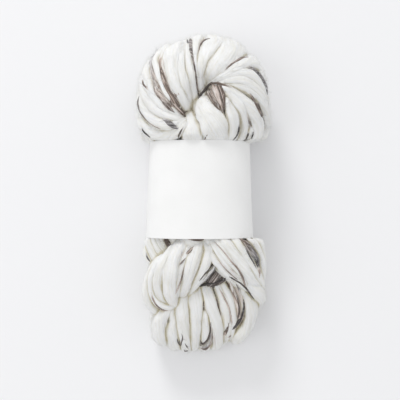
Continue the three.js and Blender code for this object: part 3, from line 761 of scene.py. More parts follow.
def way_along(path, i):
    """The way along a path at one of its rows."""
    return Vector(path[min(i + 1, len(path) - 1)][:3]) - Vector(path[max(i - 1, 0)][:3])


def distance_to_line(point, line):
    start, end = line
    along = (end - start).normalized()
    reach = min(max((point - start).dot(along), 0), (end - start).length)
    return (point - start - along * reach).length


# The head's outline, from the band round the rims of the petals and back to the band
RIM_LINE = [Vector(point) for point in RIM_START]
RIM_LINE += [Vector(petal["rim"][:2]) for petal in PETALS.values()]
RIM_LINE += [Vector(point) for point in RIM_END]


def band_half_width(y):
    share = min(max(0.5 - y / (2 * BAND_HALF_LENGTH), 0), 1)
    return BAND_HALF_WIDTH_HEAD + (BAND_HALF_WIDTH_FOOT - BAND_HALF_WIDTH_HEAD) * share


def band_top(x, y):
    """Height of the band's outside over a point, or of its shoulder beside it."""
    across = min(abs(x) / band_half_width(y), BAND_CORNER)
    return BAND_AXIS_HEIGHT + BAND_HALF_HEIGHT * (1 - across**BAND_SQUARENESS) ** (1 / BAND_SQUARENESS)


def head_top(x, y):
    """Height of the head's surface: a dome inside its rim, with a hollow, rising from the band's edge."""
    point = Vector((x, y))
    inward = min(distance_to_line(point, line) for line in zip(RIM_LINE, RIM_LINE[1:])) / SHOULDER
    dome = RIM_HEIGHT + (CROWN_HEIGHT - RIM_HEIGHT) * math.sqrt(1 - (1 - min(inward, 1)) ** 2)
    dome -= HOLLOW_DEPTH * math.exp(-((distance_to_line(point, HOLLOW_LINE) / HOLLOW_REACH) ** 2))
    from_band = RISE_FROM_BAND * max(y - BAND_HALF_LENGTH, 0)
    return min(dome, band_top(x, y) - YARN_INSET - UNDER_EDGE + from_band)


def deep_of(half_wide):
    return min(LEAST_DEEP + DEEP_SHARE * half_wide, THIN_DEEP + 2 * half_wide)


def outward(point):
    """The way out of the hank at a point."""
    spine = SPINE_FOOT - SPINE_HEAD
    share = min(max((point - SPINE_HEAD).dot(spine) / spine.length_squared, 0), 1)
    return (point - SPINE_HEAD - spine * share).normalized()


def tints(spec, count):
    """Dye and grey of each of a strand's rows, from its few values spread evenly over them."""
    made = []
    for key in ("dye", "grey"):
        values = spec.get(key, 0)
        values = values if isinstance(values, tuple) else (values, values)
        table = [(value,) for value in values]
        made.append([row_at(table, i / (count - 1))[0] for i in range(count)])
    return list(zip(*made))


# A strand's rows, once worked out, are x, y, z, across, deep, dye and grey, in millimetres. On the dark lines
# the dye value stands for painted shade.
def laid_rows(spec, tops, tint):
    """Rows of a strand whose top lies at the given heights. A dyed one shows its whole width."""
    rows = []
    drop = spec.get("sink", 0) - spec.get("lift", 0)
    overlap = DYED_OVERLAP if "dye" in spec else OVERLAP
    for (x, y, top, half_wide), (dye, grey) in zip(tops, tint):
        deep = deep_of(half_wide)
        rows.append((x, y, top - drop - deep, half_wide + overlap, deep, dye, grey))
    return rows


def heights_under(ground, path):
    """Height of the yarn under each row of a path, or of the last one where nothing is under it."""
    tops = []
    for row in path:
        hit, point = ground.ray_cast(Vector((row[0], row[1], SIGHT_FROM)) * MM, Vector((0, 0, -1)))[:2]
        tops.append(point.z / MM if hit else (tops[-1] if tops else BAND_AXIS_HEIGHT))
    return tops


def line_rows(ground, spec):
    """Rows of a line of dyed fibres that runs on the strands laid so far."""
    shades = tints(spec, len(spec["rows"]))
    path = smooth_path([(x, y, 0, wide, 0, *shade) for (x, y, wide), shade in zip(spec["rows"], shades)])
    tops = heights_under(ground, path)
    cliffs = [i for i in range(1, len(tops)) if abs(tops[i] - tops[i - 1]) > LINE_CLIFF]
    runs = zip([0] + cliffs, cliffs + [len(tops)])
    first, last = max(runs, key=lambda run: run[1] - run[0])
    path, tops = path[first:last], tops[first:last]
    made = []
    for i, (x, y, _, half_wide, _, dye, grey) in enumerate(path):
        near = tops[max(i - LINE_WINDOW, 0) : i + LINE_WINDOW + 1]
        top = max(sum(near) / len(near), tops[i] - LINE_DROP) + LINE_RISE
        deep = LINE_DEEP + LINE_DEEP_SHARE * half_wide
        made.append((x, y, top - deep * LINE_SUNK, half_wide + DYED_OVERLAP, deep, dye, grey))
    return made


def dive(rows, reach, depth):
    """The rows with one more before them, further on and lower, where the strand goes in."""
    first, second = rows[0], rows[1]
    away = Vector((first[0] - second[0], first[1] - second[1])).normalized() * reach
    return [(first[0] + away.x, first[1] + away.y, first[2] - depth) + tuple(first[3:])] + rows


def over_rim(spec, tint):
    """Rows that carry a petal over the head's rim and down to the surface, out from the head's middle."""
    rim_x, rim_y, half_wide = spec["rim"]
    away = (Vector((rim_x, rim_y)) - HEAD_MIDDLE).normalized()
    deep = deep_of(half_wide)
    made = []
    for angle in RIM_ANGLES:
        up = math.sin(math.radians(angle))
        out = (UNDER_SHOULDER - deep) * math.cos(math.radians(angle)) - UNDER_SHOULDER
        tall = CROWN_HEIGHT - RIM_HEIGHT if up > 0 else RIM_HEIGHT
        z = RIM_HEIGHT + (tall - deep) * up
        made.append((rim_x + away.x * out, rim_y + away.y * out, z, half_wide + RIM_OVERLAP, deep, *tint))
    return made


def on_head(rows):
    """Rows on the head with the height of its surface."""
    return [(x, y, head_top(x, y), half_wide) for x, y, half_wide in rows]


def petal_rows(spec, neck_x):
    """A petal's whole run: out of the hollow, over the crown and the rim, and along the back to the band."""
    tint = tints(spec, len(spec["front"]) + 1)
    front = dive(laid_rows(spec, on_head(spec["front"]), tint), reach=5, depth=9)
    rows = front + over_rim(spec, tint[-1])
    x, y, z, across, *rest = rows[-1]
    for share, rise in PETAL_HOME:
        place = (x + (neck_x - x) * share, y + (BAND_HALF_LENGTH - y) * share, z + rise)
        rows.append((*place, max(across * (1 - HOME_NARROWS * share), LEAST_ACROSS), *rest))
    return rows


def loop_rows(spec):
    """A loop's whole run: out from under the plies, over the foot's end and back along the underside."""
    tint = tints(spec, len(spec["rows"]) + 1)
    front = dive(laid_rows(spec, spec["rows"], tint), reach=8, depth=8)
    rim_x, rim_y, half_wide = spec["rim"]
    deep = deep_of(half_wide)
    tail = (half_wide + RIM_OVERLAP, deep, *tint[-1])
    away = Vector((rim_x - front[-1][0], rim_y - front[-1][1])).normalized()
    under = deep + LOOP_UNDER_REACH
    over = [
        (rim_x - away.x * deep, rim_y - away.y * deep, LOOP_SIDE_HEIGHT) + tail,
        (rim_x - away.x * under, rim_y - away.y * under, deep + 1) + tail,
    ]
    home = [(rim_x * share_x, rim_y * share_y, deep + rise) + tail for share_x, share_y, rise in LOOP_HOME]
    return front + over + home


def head_strand_rows(spec):
    """Rows of a strand on the head that comes out of it at one end."""
    tint = tints(spec, len(spec["rows"]))
    return dive(laid_rows(spec, on_head(spec["rows"]), tint), reach=2.5, depth=7)


def ply_rows(spec):
    """Rows of a ply, which at its far end turns down and in again."""
    rows = laid_rows(spec, spec["rows"], tints(spec, len(spec["rows"])))
    return dive(dive(rows[::-1], reach=3.5, depth=7), reach=-1, depth=9)[::-1]


def crease_rows(left, right):
    """Rows half way between two neighbouring petals and lower, which close the crease between them."""
    rows = []
    for i in range(CREASE_SKIPPED, CREASE_ROWS):
        a = row_at(left, i / (CREASE_ROWS - 1))
        b = row_at(right, i / (CREASE_ROWS - 1))
        point = Vector([(p + q) / 2 for p, q in zip(a[:3], b[:3])])
        point -= outward(point) * CREASE_LOWER
        spread = math.dist(a[:3], b[:3]) / 2 + CREASE_OVERLAP
        tint = (max(a[5], b[5]) * CREASE_DYE, max(a[6], b[6]))
        rows.append((*point, min(spread, CREASE_WIDEST), CREASE_DEEP, *tint))
    return rows


def bundle_rows(spec):
    """Rows of each strand that lies side by side with the others in a bundle."""
    middle = smooth_path(spec["rows"], BUNDLE_STEP)
    count = spec["strands"]
    made = []
    for strand in range(count):
        side = (strand + 0.5) / count * 2 - 1
        rows = []
        for i, (x, y, z, half_wide) in enumerate(middle):
            point = Vector((x, y, z))
            across = outward(point).cross(way_along(middle, i)).normalized()
            drift = Vector((i * WAVE_ALONG, strand * WAVE_APART, i * WAVE_DRIFT))
            wave = noise.noise(drift) * BUNDLE_WAVE
            point += across * half_wide * side + outward(point) * wave
            rows.append((*point, half_wide / count * BUNDLE_OVERLAP, BUNDLE_DEEP, 0, 0))
        made.append(rows)
    return made


def waist_rows():
    """Strands that run through the band and fill it."""
    made = []
    for strand in range(WAIST_STRANDS):
        angle = 2 * math.pi * strand / WAIST_STRANDS
        rows = []
        for y in range(-WAIST_HALF_LENGTH, WAIST_HALF_LENGTH + 1, WAIST_STEP):
            turn = angle + y * WAIST_TURN
            share = WAIST_SHARE - WAIST_NARROWS * max(abs(y) - BAND_HALF_LENGTH, 0)
            x = band_half_width(y) * share * math.cos(turn)
            z = BAND_AXIS_HEIGHT + BAND_HALF_HEIGHT * share * math.sin(turn)
            rows.append((x, y, z, WAIST_HALF_WIDE, WAIST_DEEP, 0, 0))
        made.append(rows)
    return made


def all_strands():
    """Rows of every strand, by piece."""
    necks = np.linspace(*NECKS, len(PETALS))
    petals = [petal_rows(spec, neck) for spec, neck in zip(PETALS.values(), necks)]
    head_bundles = [rows for spec in HEAD_BUNDLES.values() for rows in bundle_rows(spec)]
    return {
        "head_petals": petals,
        "head_creases": [crease_rows(a, b) for a, b in zip(petals, petals[1:])],
        "head_front": [head_strand_rows(spec) for spec in HEAD_TO_BAND.values()],
        "foot_plies": [ply_rows(spec) for spec in PLIES.values()],
        "foot_loops": [loop_rows(spec) for spec in LOOPS.values()],
        "foot_filling": [rows for spec in FOOT_BUNDLES.values() for rows in bundle_rows(spec)],
        "inner_yarn": head_bundles + waist_rows(),
    }


# Node helpers
def feed(tree, value, socket):
    """Links another node's socket to an input, or sets the input to a plain value."""
    if isinstance(value, bpy.types.NodeSocket):
        tree.links.new(value, socket)
    else:
        socket.default_value = value


def add_node(tree, kind, inputs=None, **settings):
    """A node with its settings, and with each input set to a value or linked from a socket."""
    made = tree.nodes.new(kind)
    for name, value in settings.items():
        setattr(made, name, value)
    for key, value in (inputs or {}).items():
        feed(tree, value, made.inputs[key])
    return made


def maths(tree, operation, *values, clamp=False):
    inputs = dict(enumerate(values))
    return add_node(tree, "ShaderNodeMath", inputs, operation=operation, use_clamp=clamp).outputs[0]


def vector_maths(tree, operation, first, second):
    inputs = {0: first, 1: second}
    return add_node(tree, "ShaderNodeVectorMath", inputs, operation=operation).outputs["Vector"]


def scaled(tree, vector, factor):
    inputs = {"Vector": vector, "Scale": factor}
    return add_node(tree, "ShaderNodeVectorMath", inputs, operation="SCALE").outputs["Vector"]


def position(tree):
    return add_node(tree, "GeometryNodeInputPosition").outputs[0]


def geometry_of(tree, obj):
    return add_node(tree, "GeometryNodeObjectInfo", {"Object": obj}).outputs["Geometry"]


def parts_of(tree, vector):
    return add_node(tree, "ShaderNodeSeparateXYZ", {"Vector": vector}).outputs


def vector_of(tree, **parts):
    return add_node(tree, "ShaderNodeCombineXYZ", parts).outputs[0]


def drawn_out(tree, x, y, z, width, length):
    """Place in a noise whose grains have the given width and, along z, the given length."""
    across = [maths(tree, "DIVIDE", part, width) for part in (x, y)]
    return vector_of(tree, X=across[0], Y=across[1], Z=maths(tree, "DIVIDE", z, length))


def named(tree, name, kind="FLOAT"):
    made = add_node(tree, "GeometryNodeInputNamedAttribute", {"Name": name}, data_type=kind)
    return made.outputs["Attribute"]


def stored(tree, geometry, name, value, kind="FLOAT"):
    inputs = {"Geometry": geometry, "Name": name, "Value": value}
    made = add_node(tree, "GeometryNodeStoreNamedAttribute", inputs, data_type=kind, domain="POINT")
    return made.outputs["Geometry"]


def captured(tree, geometry, fields):
    """The geometry with the fields' values held on its points, and the sockets that give them."""
    made = add_node(tree, "GeometryNodeCaptureAttribute", {"Geometry": geometry})
    for name, (kind, field) in fields.items():
        made.capture_items.new(kind, name)
        tree.links.new(field, made.inputs[name])
    return made.outputs["Geometry"], made.outputs


def add_inputs(tree, inputs):
    for label, (kind, value) in inputs.items():
        socket = tree.interface.new_socket(label, in_out="INPUT", socket_type=kind)
        if value is not None:
            socket.default_value = value


def geometry_tree(name, inputs):
    """An empty geometry tree with the given inputs, and the sockets that give them."""
    tree = bpy.data.node_groups.new(name, "GeometryNodeTree")
    add_inputs(tree, {"Geometry": ("NodeSocketGeometry", None), **inputs})
    tree.interface.new_socket("Geometry", in_out="OUTPUT", socket_type="NodeSocketGeometry")
    return tree, tree.nodes.new("NodeGroupInput").outputs


def finish_tree(tree, geometry, material):
    real = add_node(tree, "GeometryNodeRealizeInstances", {"Geometry": geometry})
    painted = add_node(tree, "GeometryNodeSetMaterial", {"Geometry": real.outputs[0], "Material": material})
    out = tree.nodes.new("NodeGroupOutput")
    tree.links.new(painted.outputs[0], out.inputs[0])


def apply_tree(obj, tree, values):
    """Runs a geometry tree on an object and keeps the result as its plain mesh."""
    modifier = obj.modifiers.new(tree.name, "NODES")
    modifier.node_group = tree
    for item in tree.interface.items_tree:
        if item.in_out == "INPUT" and item.name in values:
            modifier[item.identifier] = values[item.name]
    evaluated = obj.evaluated_get(bpy.context.evaluated_depsgraph_get())
    mesh = bpy.data.meshes.new_from_object(evaluated)
    obj.modifiers.remove(modifier)
    obj.data = mesh
    mesh.name = obj.name


def new_object(name, data):
    obj = bpy.data.objects.new(name, data)
    bpy.context.scene.collection.objects.link(obj)
    return obj


# Strands
def section_size(tree, given, middle, ridges, place):
    """Size of a strand's section: its lumps and ridges, drawn in to a round end at the tips."""
    lump_place = maths(tree, "DIVIDE", place, given["Lump Length"])
    inputs = {"W": lump_place, "Scale": 1.0, "Detail": 1.0}
    lumps = add_node(tree, "ShaderNodeTexNoise", inputs, noise_dimensions="1D").outputs[0]
    to_end = maths(tree, "SUBTRACT", middle["Whole"], middle["From Start"])
    from_tip = maths(tree, "MULTIPLY", maths(tree, "MINIMUM", middle["From Start"], to_end), 1 / MM)
    inward = maths(tree, "SUBTRACT", 1.0, maths(tree, "DIVIDE", from_tip, given["Tip Length"], clamp=True))
    tip = maths(tree, "SQRT", maths(tree, "SUBTRACT", 1 + TIP_LEFT, maths(tree, "MULTIPLY", inward, inward)))
    size = maths(tree, "MULTIPLY_ADD", maths(tree, "SUBTRACT", lumps, 0.5), given["Lump Share"], 1.0)
    size = maths(tree, "MULTIPLY_ADD", maths(tree, "SUBTRACT", ridges, 0.5), given["Ridge Share"], size)
    return maths(tree, "MULTIPLY", size, tip)


def section_place(tree, middle, section, across, size):
    """Place of a section's points: it stands across the line, its second axis out of the hank."""
    normal = named(tree, "normal", "FLOAT_VECTOR")
    side = vector_maths(tree, "CROSS_PRODUCT", normal, middle["Tangent"])
    ring_x, ring_y = parts_of(tree, section["Ring"])[:2]
    wide = maths(tree, "MULTIPLY", maths(tree, "MULTIPLY", ring_x, maths(tree, "MULTIPLY", across, MM)), size)
    deep = maths(tree, "MULTIPLY", named(tree, "deep"), MM)
    tall = maths(tree, "MULTIPLY", maths(tree, "MULTIPLY", ring_y, deep), size)
    offset = vector_maths(tree, "ADD", scaled(tree, side, wide), scaled(tree, normal, tall))
    return vector_maths(tree, "ADD", middle["Centre"], offset)


def spun_strand_tree():
    """Sweeps a spun strand along each line: lumpy, with fibre ridges that wind round it and round ends."""
    tree, given = geometry_tree("spun strand", {
        "Sides": ("NodeSocketInt", SIDES),
        "Lump Share": ("NodeSocketFloat", 0.32),
        "Lump Length": ("NodeSocketFloat", 16),
        "Ridge Share": ("NodeSocketFloat", 0.6),
        "Ridge Width": ("NodeSocketFloat", 3.2),
        "Ridge Length": ("NodeSocketFloat", 45),
        "Twist Length": ("NodeSocketFloat", 240),
        "Tip Length": ("NodeSocketFloat", 5),
        "Material": ("NodeSocketMaterial", None),
    })
    lines = add_node(tree, "GeometryNodeMeshToCurve", {"Mesh": given["Geometry"]}).outputs[0]
    lines, middle = captured(tree, lines, {
        "Centre": ("VECTOR", position(tree)),
        "Tangent": ("VECTOR", add_node(tree, "GeometryNodeInputTangent").outputs[0]),
        "From Start": ("FLOAT", add_node(tree, "GeometryNodeSplineParameter").outputs["Length"]),
        "Whole": ("FLOAT", add_node(tree, "GeometryNodeSplineLength").outputs["Length"]),
    })
    ring = add_node(tree, "GeometryNodeCurvePrimitiveCircle", {"Resolution": given["Sides"], "Radius": 1.0})
    ring, section = captured(tree, ring.outputs["Curve"], {"Ring": ("VECTOR", position(tree))})
    inputs = {"Curve": lines, "Profile Curve": ring, "Fill Caps": True}
    tube = add_node(tree, "GeometryNodeCurveToMesh", inputs).outputs[0]

    # Fibres, in millimetres round and along the strand, wound by the twist
    across = named(tree, "across")
    place = maths(tree, "MULTIPLY_ADD", middle["From Start"], 1 / MM, named(tree, "start"))
    turn = maths(tree, "DIVIDE", maths(tree, "MULTIPLY", place, 2 * math.pi), given["Twist Length"])
    inputs = {"Vector": section["Ring"], "Angle": turn}
    wound = add_node(tree, "ShaderNodeVectorRotate", inputs, rotation_type="Z_AXIS").outputs[0]
    x, y = parts_of(tree, scaled(tree, wound, across))[:2]
    ridge_place = drawn_out(tree, x, y, place, given["Ridge Width"], given["Ridge Length"])
    inputs = {"Vector": ridge_place, "Scale": 1.0, "Detail": 3.0, "Roughness": 0.6}
    ridges = add_node(tree, "ShaderNodeTexNoise", inputs).outputs[0]
    size = section_size(tree, given, middle, ridges, place)

    inputs = {"Geometry": tube, "Position": section_place(tree, middle, section, across, size)}
    placed = add_node(tree, "GeometryNodeSetPosition", inputs).outputs[0]
    placed = stored(tree, placed, "fibre", vector_of(tree, X=x, Y=y, Z=place), "FLOAT_VECTOR")
    smooth = add_node(tree, "GeometryNodeSetShadeSmooth", {"Geometry": placed}).outputs[0]
    finish_tree(tree, smooth, given["Material"])
    return tree


def strand_normals(path):
    """The way out of the hank at each of a strand's rows, square to the strand and without sudden turns."""
    normals = []
    for i, row in enumerate(path):
        tangent = way_along(path, i).normalized()
        out = outward(Vector(row[:3]))
        fresh = out - tangent * out.dot(tangent)
        last = normals[-1] if normals else fresh.normalized()
        weight = min(fresh.length**2, 1) * NORMAL_SHARE
        normal = last * (1 - weight) + fresh.normalized() * weight
        normals.append((normal - tangent * normal.dot(tangent)).normalized())
    return normals


def strand_lines(name, strands, step):
    """One mesh of lines, a line for each strand, with what the sweep needs on its points."""
    places, edges, columns, normals = [], [], [], []
    for number, rows in enumerate(strands):
        path = smooth_path(rows, step)
        edges += [(i, i + 1) for i in range(len(places), len(places) + len(path) - 1)]
        normals += strand_normals(path)
        for x, y, z, across, deep, dye, grey in path:
            places.append(Vector((x, y, z)) * MM)
            columns.append((across, deep, min(max(dye, 0), 1), min(max(grey, 0), 1), number * START_APART))
    mesh = bpy.data.meshes.new(name)
    mesh.from_pydata(places, edges, [])
    columns = np.array(columns, dtype=np.float32)
    for label, column in zip(("across", "deep", "dye", "grey", "start"), columns.T):
        mesh.attributes.new(label, "FLOAT", "POINT").data.foreach_set("value", column.copy())
    normals = np.array(normals, dtype=np.float32).ravel()
    mesh.attributes.new("normal", "FLOAT_VECTOR", "POINT").data.foreach_set("vector", normals)
    return mesh


def keep_in_place(mesh):
    """Presses the yarn flat on the surface and holds it inside the band."""
    count = len(mesh.vertices)
    place = np.empty(count * 3, dtype=np.float32)
    mesh.vertices.foreach_get("co", place)
    place = place.reshape(count, 3) / MM
    x, y, z = place.T
    inside = np.clip((BAND_HALF_LENGTH + YARN_EASE - np.abs(y)) / YARN_EASE, 0, 1)
    ends = [-BAND_HALF_LENGTH, BAND_HALF_LENGTH]
    half_width = np.interp(-y, ends, [BAND_HALF_WIDTH_HEAD, BAND_HALF_WIDTH_FOOT]) - YARN_INSET
    half_height = BAND_HALF_HEIGHT - YARN_INSET
    up = z - BAND_AXIS_HEIGHT
    power = BAND_SQUARENESS
    reach = (np.abs(x / half_width) ** power + np.abs(up / half_height) ** power) ** (1 / power)
    shrink = 1 - inside * (1 - 1 / np.maximum(reach, 1))
    place[:, 0] = x * shrink
    place[:, 2] = np.maximum(BAND_AXIS_HEIGHT + up * shrink, inside * YARN_INSET)
    mesh.vertices.foreach_set("co", (place * MM).ravel())
    mesh.update()


def yarn_piece(name, strands, tree, material, step, values):
    obj = new_object(name, strand_lines(name, strands, step))
    apply_tree(obj, tree, {"Material": material, **values})
    keep_in_place(obj.data)
    return obj


def joined(name, pieces):
    """One object with a copy of every piece's mesh."""
    whole = bmesh.new()
    for piece in pieces:
        whole.from_mesh(piece.data)
    mesh = bpy.data.meshes.new(name)
    whole.to_mesh(mesh)
    whole.free()
    return new_object(name, mesh)


def crease_shade_tree():
    """Holds on the yarn how closely other yarn lies over each place, 0 in the open and 1 shut in: the mask
    that says where the wool's colour is painted with crease shade.
    """
    tree, given = geometry_tree("crease mask", {
        "Yarn": ("NodeSocketObject", None),
        "Reach": ("NodeSocketFloat", 3 * MM),
        "Material": ("NodeSocketMaterial", None),
    })
    yarn = geometry_of(tree, given["Yarn"])
    above = scaled(tree, add_node(tree, "GeometryNodeInputNormal").outputs[0], given["Reach"])
    inputs = {"Target": yarn, "Source Position": vector_maths(tree, "ADD", position(tree), above)}
    near = add_node(tree, "GeometryNodeProximity", inputs).outputs["Distance"]
    painted_shade = maths(tree, "SUBTRACT", 1.0, maths(tree, "DIVIDE", near, given["Reach"]), clamp=True)
    finish_tree(tree, stored(tree, given["Geometry"], "crease", painted_shade), given["Material"])
    return tree


# Fuzz
def hair_shape(tree, given):
    """One hair, a metre tall before it is scaled: bent to one side and thinner at its tip."""
    line = add_node(tree, "GeometryNodeCurvePrimitiveLine", {"End": (0, 0, 1)}).outputs[0]
    line = add_node(tree, "GeometryNodeResampleCurve", {"Curve": line, "Count": 3}).outputs[0]
    share = add_node(tree, "GeometryNodeSplineParameter").outputs["Factor"]
    bend = maths(tree, "MULTIPLY", maths(tree, "MULTIPLY", share, share), HAIR_BEND)
    bent = vector_of(tree, X=bend, Z=maths(tree, "MULTIPLY", bend, -HAIR_DROOP))
    line = add_node(tree, "GeometryNodeSetPosition", {"Geometry": line, "Offset": bent}).outputs[0]
    thin = maths(tree, "SUBTRACT", 1.0, maths(tree, "MULTIPLY", share, HAIR_THINS))
    radius = maths(tree, "DIVIDE", given["Thickness"], given["Length"])
    ring = add_node(tree, "GeometryNodeCurvePrimitiveCircle", {"Resolution": 3, "Radius": radius})
    inputs = {"Curve": line, "Profile Curve": ring.outputs[0], "Scale": thin, "Fill Caps": True}
    return add_node(tree, "GeometryNodeCurveToMesh", inputs).outputs[0]


def shut_roots(tree, given, place, normal):
    """True where yarn lies over a root, or where the root is near the floor or past the piece's ends."""
    inputs = {
        "Target Geometry": geometry_of(tree, given["Yarn"]),
        "Source Position": vector_maths(tree, "ADD", place, scaled(tree, normal, FUZZ_LIFT * MM)),
        "Ray Direction": normal,
        "Ray Length": given["Open Way"],
    }
    shut = add_node(tree, "GeometryNodeRaycast", inputs).outputs["Is Hit"]
    part = parts_of(tree, place)
    shut = maths(tree, "MAXIMUM", shut, maths(tree, "LESS_THAN", part[1], given["From"]))
    shut = maths(tree, "MAXIMUM", shut, maths(tree, "GREATER_THAN", part[1], given["To"]))
    return maths(tree, "MAXIMUM", shut, maths(tree, "LESS_THAN", part[2], FUZZ_FROM_FLOOR * MM))


def fuzz_tree():
    """Short bent hairs, seeded, that stand out of the yarn wherever nothing lies over it."""
    tree, given = geometry_tree("wool fuzz", {
        "Yarn": ("NodeSocketObject", None),
        "Hairs per Square Metre": ("NodeSocketFloat", 420000.0),
        "Length": ("NodeSocketFloat", 4.4 * MM),
        "Thickness": ("NodeSocketFloat", 0.07 * MM),
        "Open Way": ("NodeSocketFloat", 25 * MM),
        "From": ("NodeSocketFloat", 0.0),
        "To": ("NodeSocketFloat", 0.0),
        "Seed": ("NodeSocketInt", 4),
        "Material": ("NodeSocketMaterial", None),
    })
    inputs = {"Mesh": given["Geometry"], "Density": given["Hairs per Square Metre"], "Seed": given["Seed"]}
    roots = add_node(tree, "GeometryNodeDistributePointsOnFaces", inputs).outputs
    shut = shut_roots(tree, given, position(tree), roots["Normal"])
    inputs = {"Geometry": roots["Points"], "Selection": shut}
    open_roots = add_node(tree, "GeometryNodeDeleteGeometry", inputs, domain="POINT").outputs[0]
    lean = (HAIR_LEAN, HAIR_LEAN, math.pi)
    inputs = {"Min": tuple(-turn for turn in lean), "Max": lean, "Seed": given["Seed"]}
    lean = add_node(tree, "FunctionNodeRandomValue", inputs, data_type="FLOAT_VECTOR").outputs[0]
    lean = add_node(tree, "FunctionNodeEulerToRotation", {"Euler": lean}).outputs[0]
    inputs = {"Rotation": roots["Rotation"], "Rotate By": lean}
    stand = add_node(tree, "FunctionNodeRotateRotation", inputs, rotation_space="LOCAL").outputs[0]
    inputs = {"Min": SHORTEST_HAIR, "Max": 1.0, "Seed": HAIR_LENGTH_SEED}
    size = add_node(tree, "FunctionNodeRandomValue", inputs, data_type="FLOAT").outputs[1]
    size = maths(tree, "MULTIPLY", size, given["Length"])
    inputs = {"Points": open_roots, "Instance": hair_shape(tree, given), "Rotation": stand, "Scale": size}
    hairs = add_node(tree, "GeometryNodeInstanceOnPoints", inputs).outputs[0]
    finish_tree(tree, hairs, given["Material"])
    return tree


# Materials
def linear(red, green, blue):
    """A display colour of 0 to 255 as the linear colour that a shader takes."""
    values = [value / 255 for value in (red, green, blue)]
    return tuple(v / 12.92 if v <= 0.04045 else ((v + 0.055) / 1.055) ** 2.4 for v in values) + (1.0,)


def mixed(tree, factor, first, second):
    inputs = {0: factor, 6: first, 7: second}
    return add_node(tree, "ShaderNodeMix", inputs, data_type="RGBA").outputs[2]


def from_to(tree, value, low, high, start=0.0, end=1.0):
    """The value's way from low to high, as a smooth share from start to end."""
    inputs = {"Value": value, "From Min": low, "From Max": high, "To Min": start, "To Max": end}
    return add_node(tree, "ShaderNodeMapRange", inputs, interpolation_type="SMOOTHSTEP").outputs[0]


def ramp(tree, value, places, colours):
    made = add_node(tree, "ShaderNodeValToRGB", {"Fac": value})
    elements = made.color_ramp.elements
    while len(elements) < len(places):
        elements.new(0.5)
    for element, place, colour in zip(elements, places, colours):
        element.position = place
        element.color = colour
    return made.outputs["Color"]


def attribute(tree, name, output="Fac"):
    return add_node(tree, "ShaderNodeAttribute", None, attribute_name=name).outputs[output]


def object_place(tree):
    return add_node(tree, "ShaderNodeTexCoord").outputs["Object"]


def new_material(name, settings):
    """A material whose shader has the given values on its own sockets."""
    material = bpy.data.materials.new(name)
    material.use_nodes = True
    tree = material.node_tree
    tree.nodes.clear()
    shader = tree.nodes.new("ShaderNodeBsdfPrincipled")
    out = tree.nodes.new("ShaderNodeOutputMaterial")
    tree.links.new(shader.outputs[0], out.inputs[0])
    for label, value in settings.items():
        shader.inputs[label].default_value = value
    return material, tree, shader


def streaks_group():
    """Fibres that lie along a strand: noise drawn out along it."""
    tree = bpy.data.node_groups.new("fibre streaks", "ShaderNodeTree")
    add_inputs(tree, {
        "Place": ("NodeSocketVector", None),
        "Width": ("NodeSocketFloat", 1.0),
        "Length": ("NodeSocketFloat", 12.0),
        "Detail": ("NodeSocketFloat", 2.0),
    })
    tree.interface.new_socket("Streak", in_out="OUTPUT", socket_type="NodeSocketFloat")
    given = tree.nodes.new("NodeGroupInput").outputs
    place = drawn_out(tree, *parts_of(tree, given["Place"])[:3], given["Width"], given["Length"])
    streak = add_node(tree, "ShaderNodeTexNoise", {"Vector": place, "Scale": 1.0, "Detail": given["Detail"]})
    tree.links.new(streak.outputs["Fac"], tree.nodes.new("NodeGroupOutput").inputs["Streak"])
    return tree


# Wool: streaks of fibre, by width and length in millimetres and detail, from broad ones to single hairs
STREAKS = {
    "broad": {"Width": 2.6, "Length": 22, "Detail": 2.0},
    "middle": {"Width": 1.3, "Length": 26, "Detail": 3.0},
    "fine": {"Width": 0.55, "Length": 14, "Detail": 3.0},
    "hair": {"Width": 0.28, "Length": 9, "Detail": 2.0},
}
CREAM = linear(239, 239, 238)
CREAM_WARM = linear(233, 232, 227)
WARM_FROM, WARM_TO = 0.85, 1.3  # of the broad and the middle streak together
# Painted shade: the beige that the wool is painted where other yarn closes over it, in place of the shade
# that falls in the creases
PAINTED_CREASE_SHADE = linear(208, 201, 180)
PAINTED_CREASE_SHADE_FOOT = linear(209, 201, 170)  # painted crease shade for the foot, creamier than on the head
PAINTED_SHADE_FROM = 0.15
FOOT_TINT_WAY = 30
BROWNS = (linear(104, 90, 81), linear(182, 166, 156), linear(220, 208, 201))
GREYS = (linear(66, 64, 65), linear(146, 144, 145), linear(208, 206, 208))
TONE_PLACES = (0.3, 0.46, 0.66)  # of the dark, the middle and the pale tone
FINE_IN_TONE = 1.2
TONE_DOWN = 0.62
EVEN_DYE = 0.7  # dye value at which the tones stay as they are
DYE_DARKENS = 1.2
DYE_COVERS = 0.9
BROAD_UNDYED, HAIR_UNDYED = 0.45, 0.55
DYE_EDGE = (-0.06, 0.14)
MIDDLE_BUMP, FINE_BUMP, HAIR_BUMP = 0.8, 0.35, 0.15


def wool_streaks(tree, group):
    fibre = attribute(tree, "fibre", "Vector")
    made = {}
    for name, sizes in STREAKS.items():
        made[name] = add_node(tree, "ShaderNodeGroup", {"Place": fibre, **sizes}, node_tree=group).outputs[0]
    return made


def undyed_colour(tree, streak):
    """Cream, a little warmer in streaks, with painted shade, creamier towards the foot, where strands close
    on each other.
    """
    streaky = maths(tree, "ADD", streak["broad"], streak["middle"])
    cream = mixed(tree, from_to(tree, streaky, WARM_FROM, WARM_TO), CREAM, CREAM_WARM)
    along = parts_of(tree, object_place(tree))["Y"]
    towards_head = from_to(tree, along, -FOOT_TINT_WAY * MM, FOOT_TINT_WAY * MM)
    # painted crease shade, creamier towards the foot, laid on by the crease mask
    painted_shade = mixed(tree, towards_head, PAINTED_CREASE_SHADE_FOOT, PAINTED_CREASE_SHADE)
    return mixed(tree, from_to(tree, attribute(tree, "crease"), PAINTED_SHADE_FROM, 1.0), cream, painted_shade)


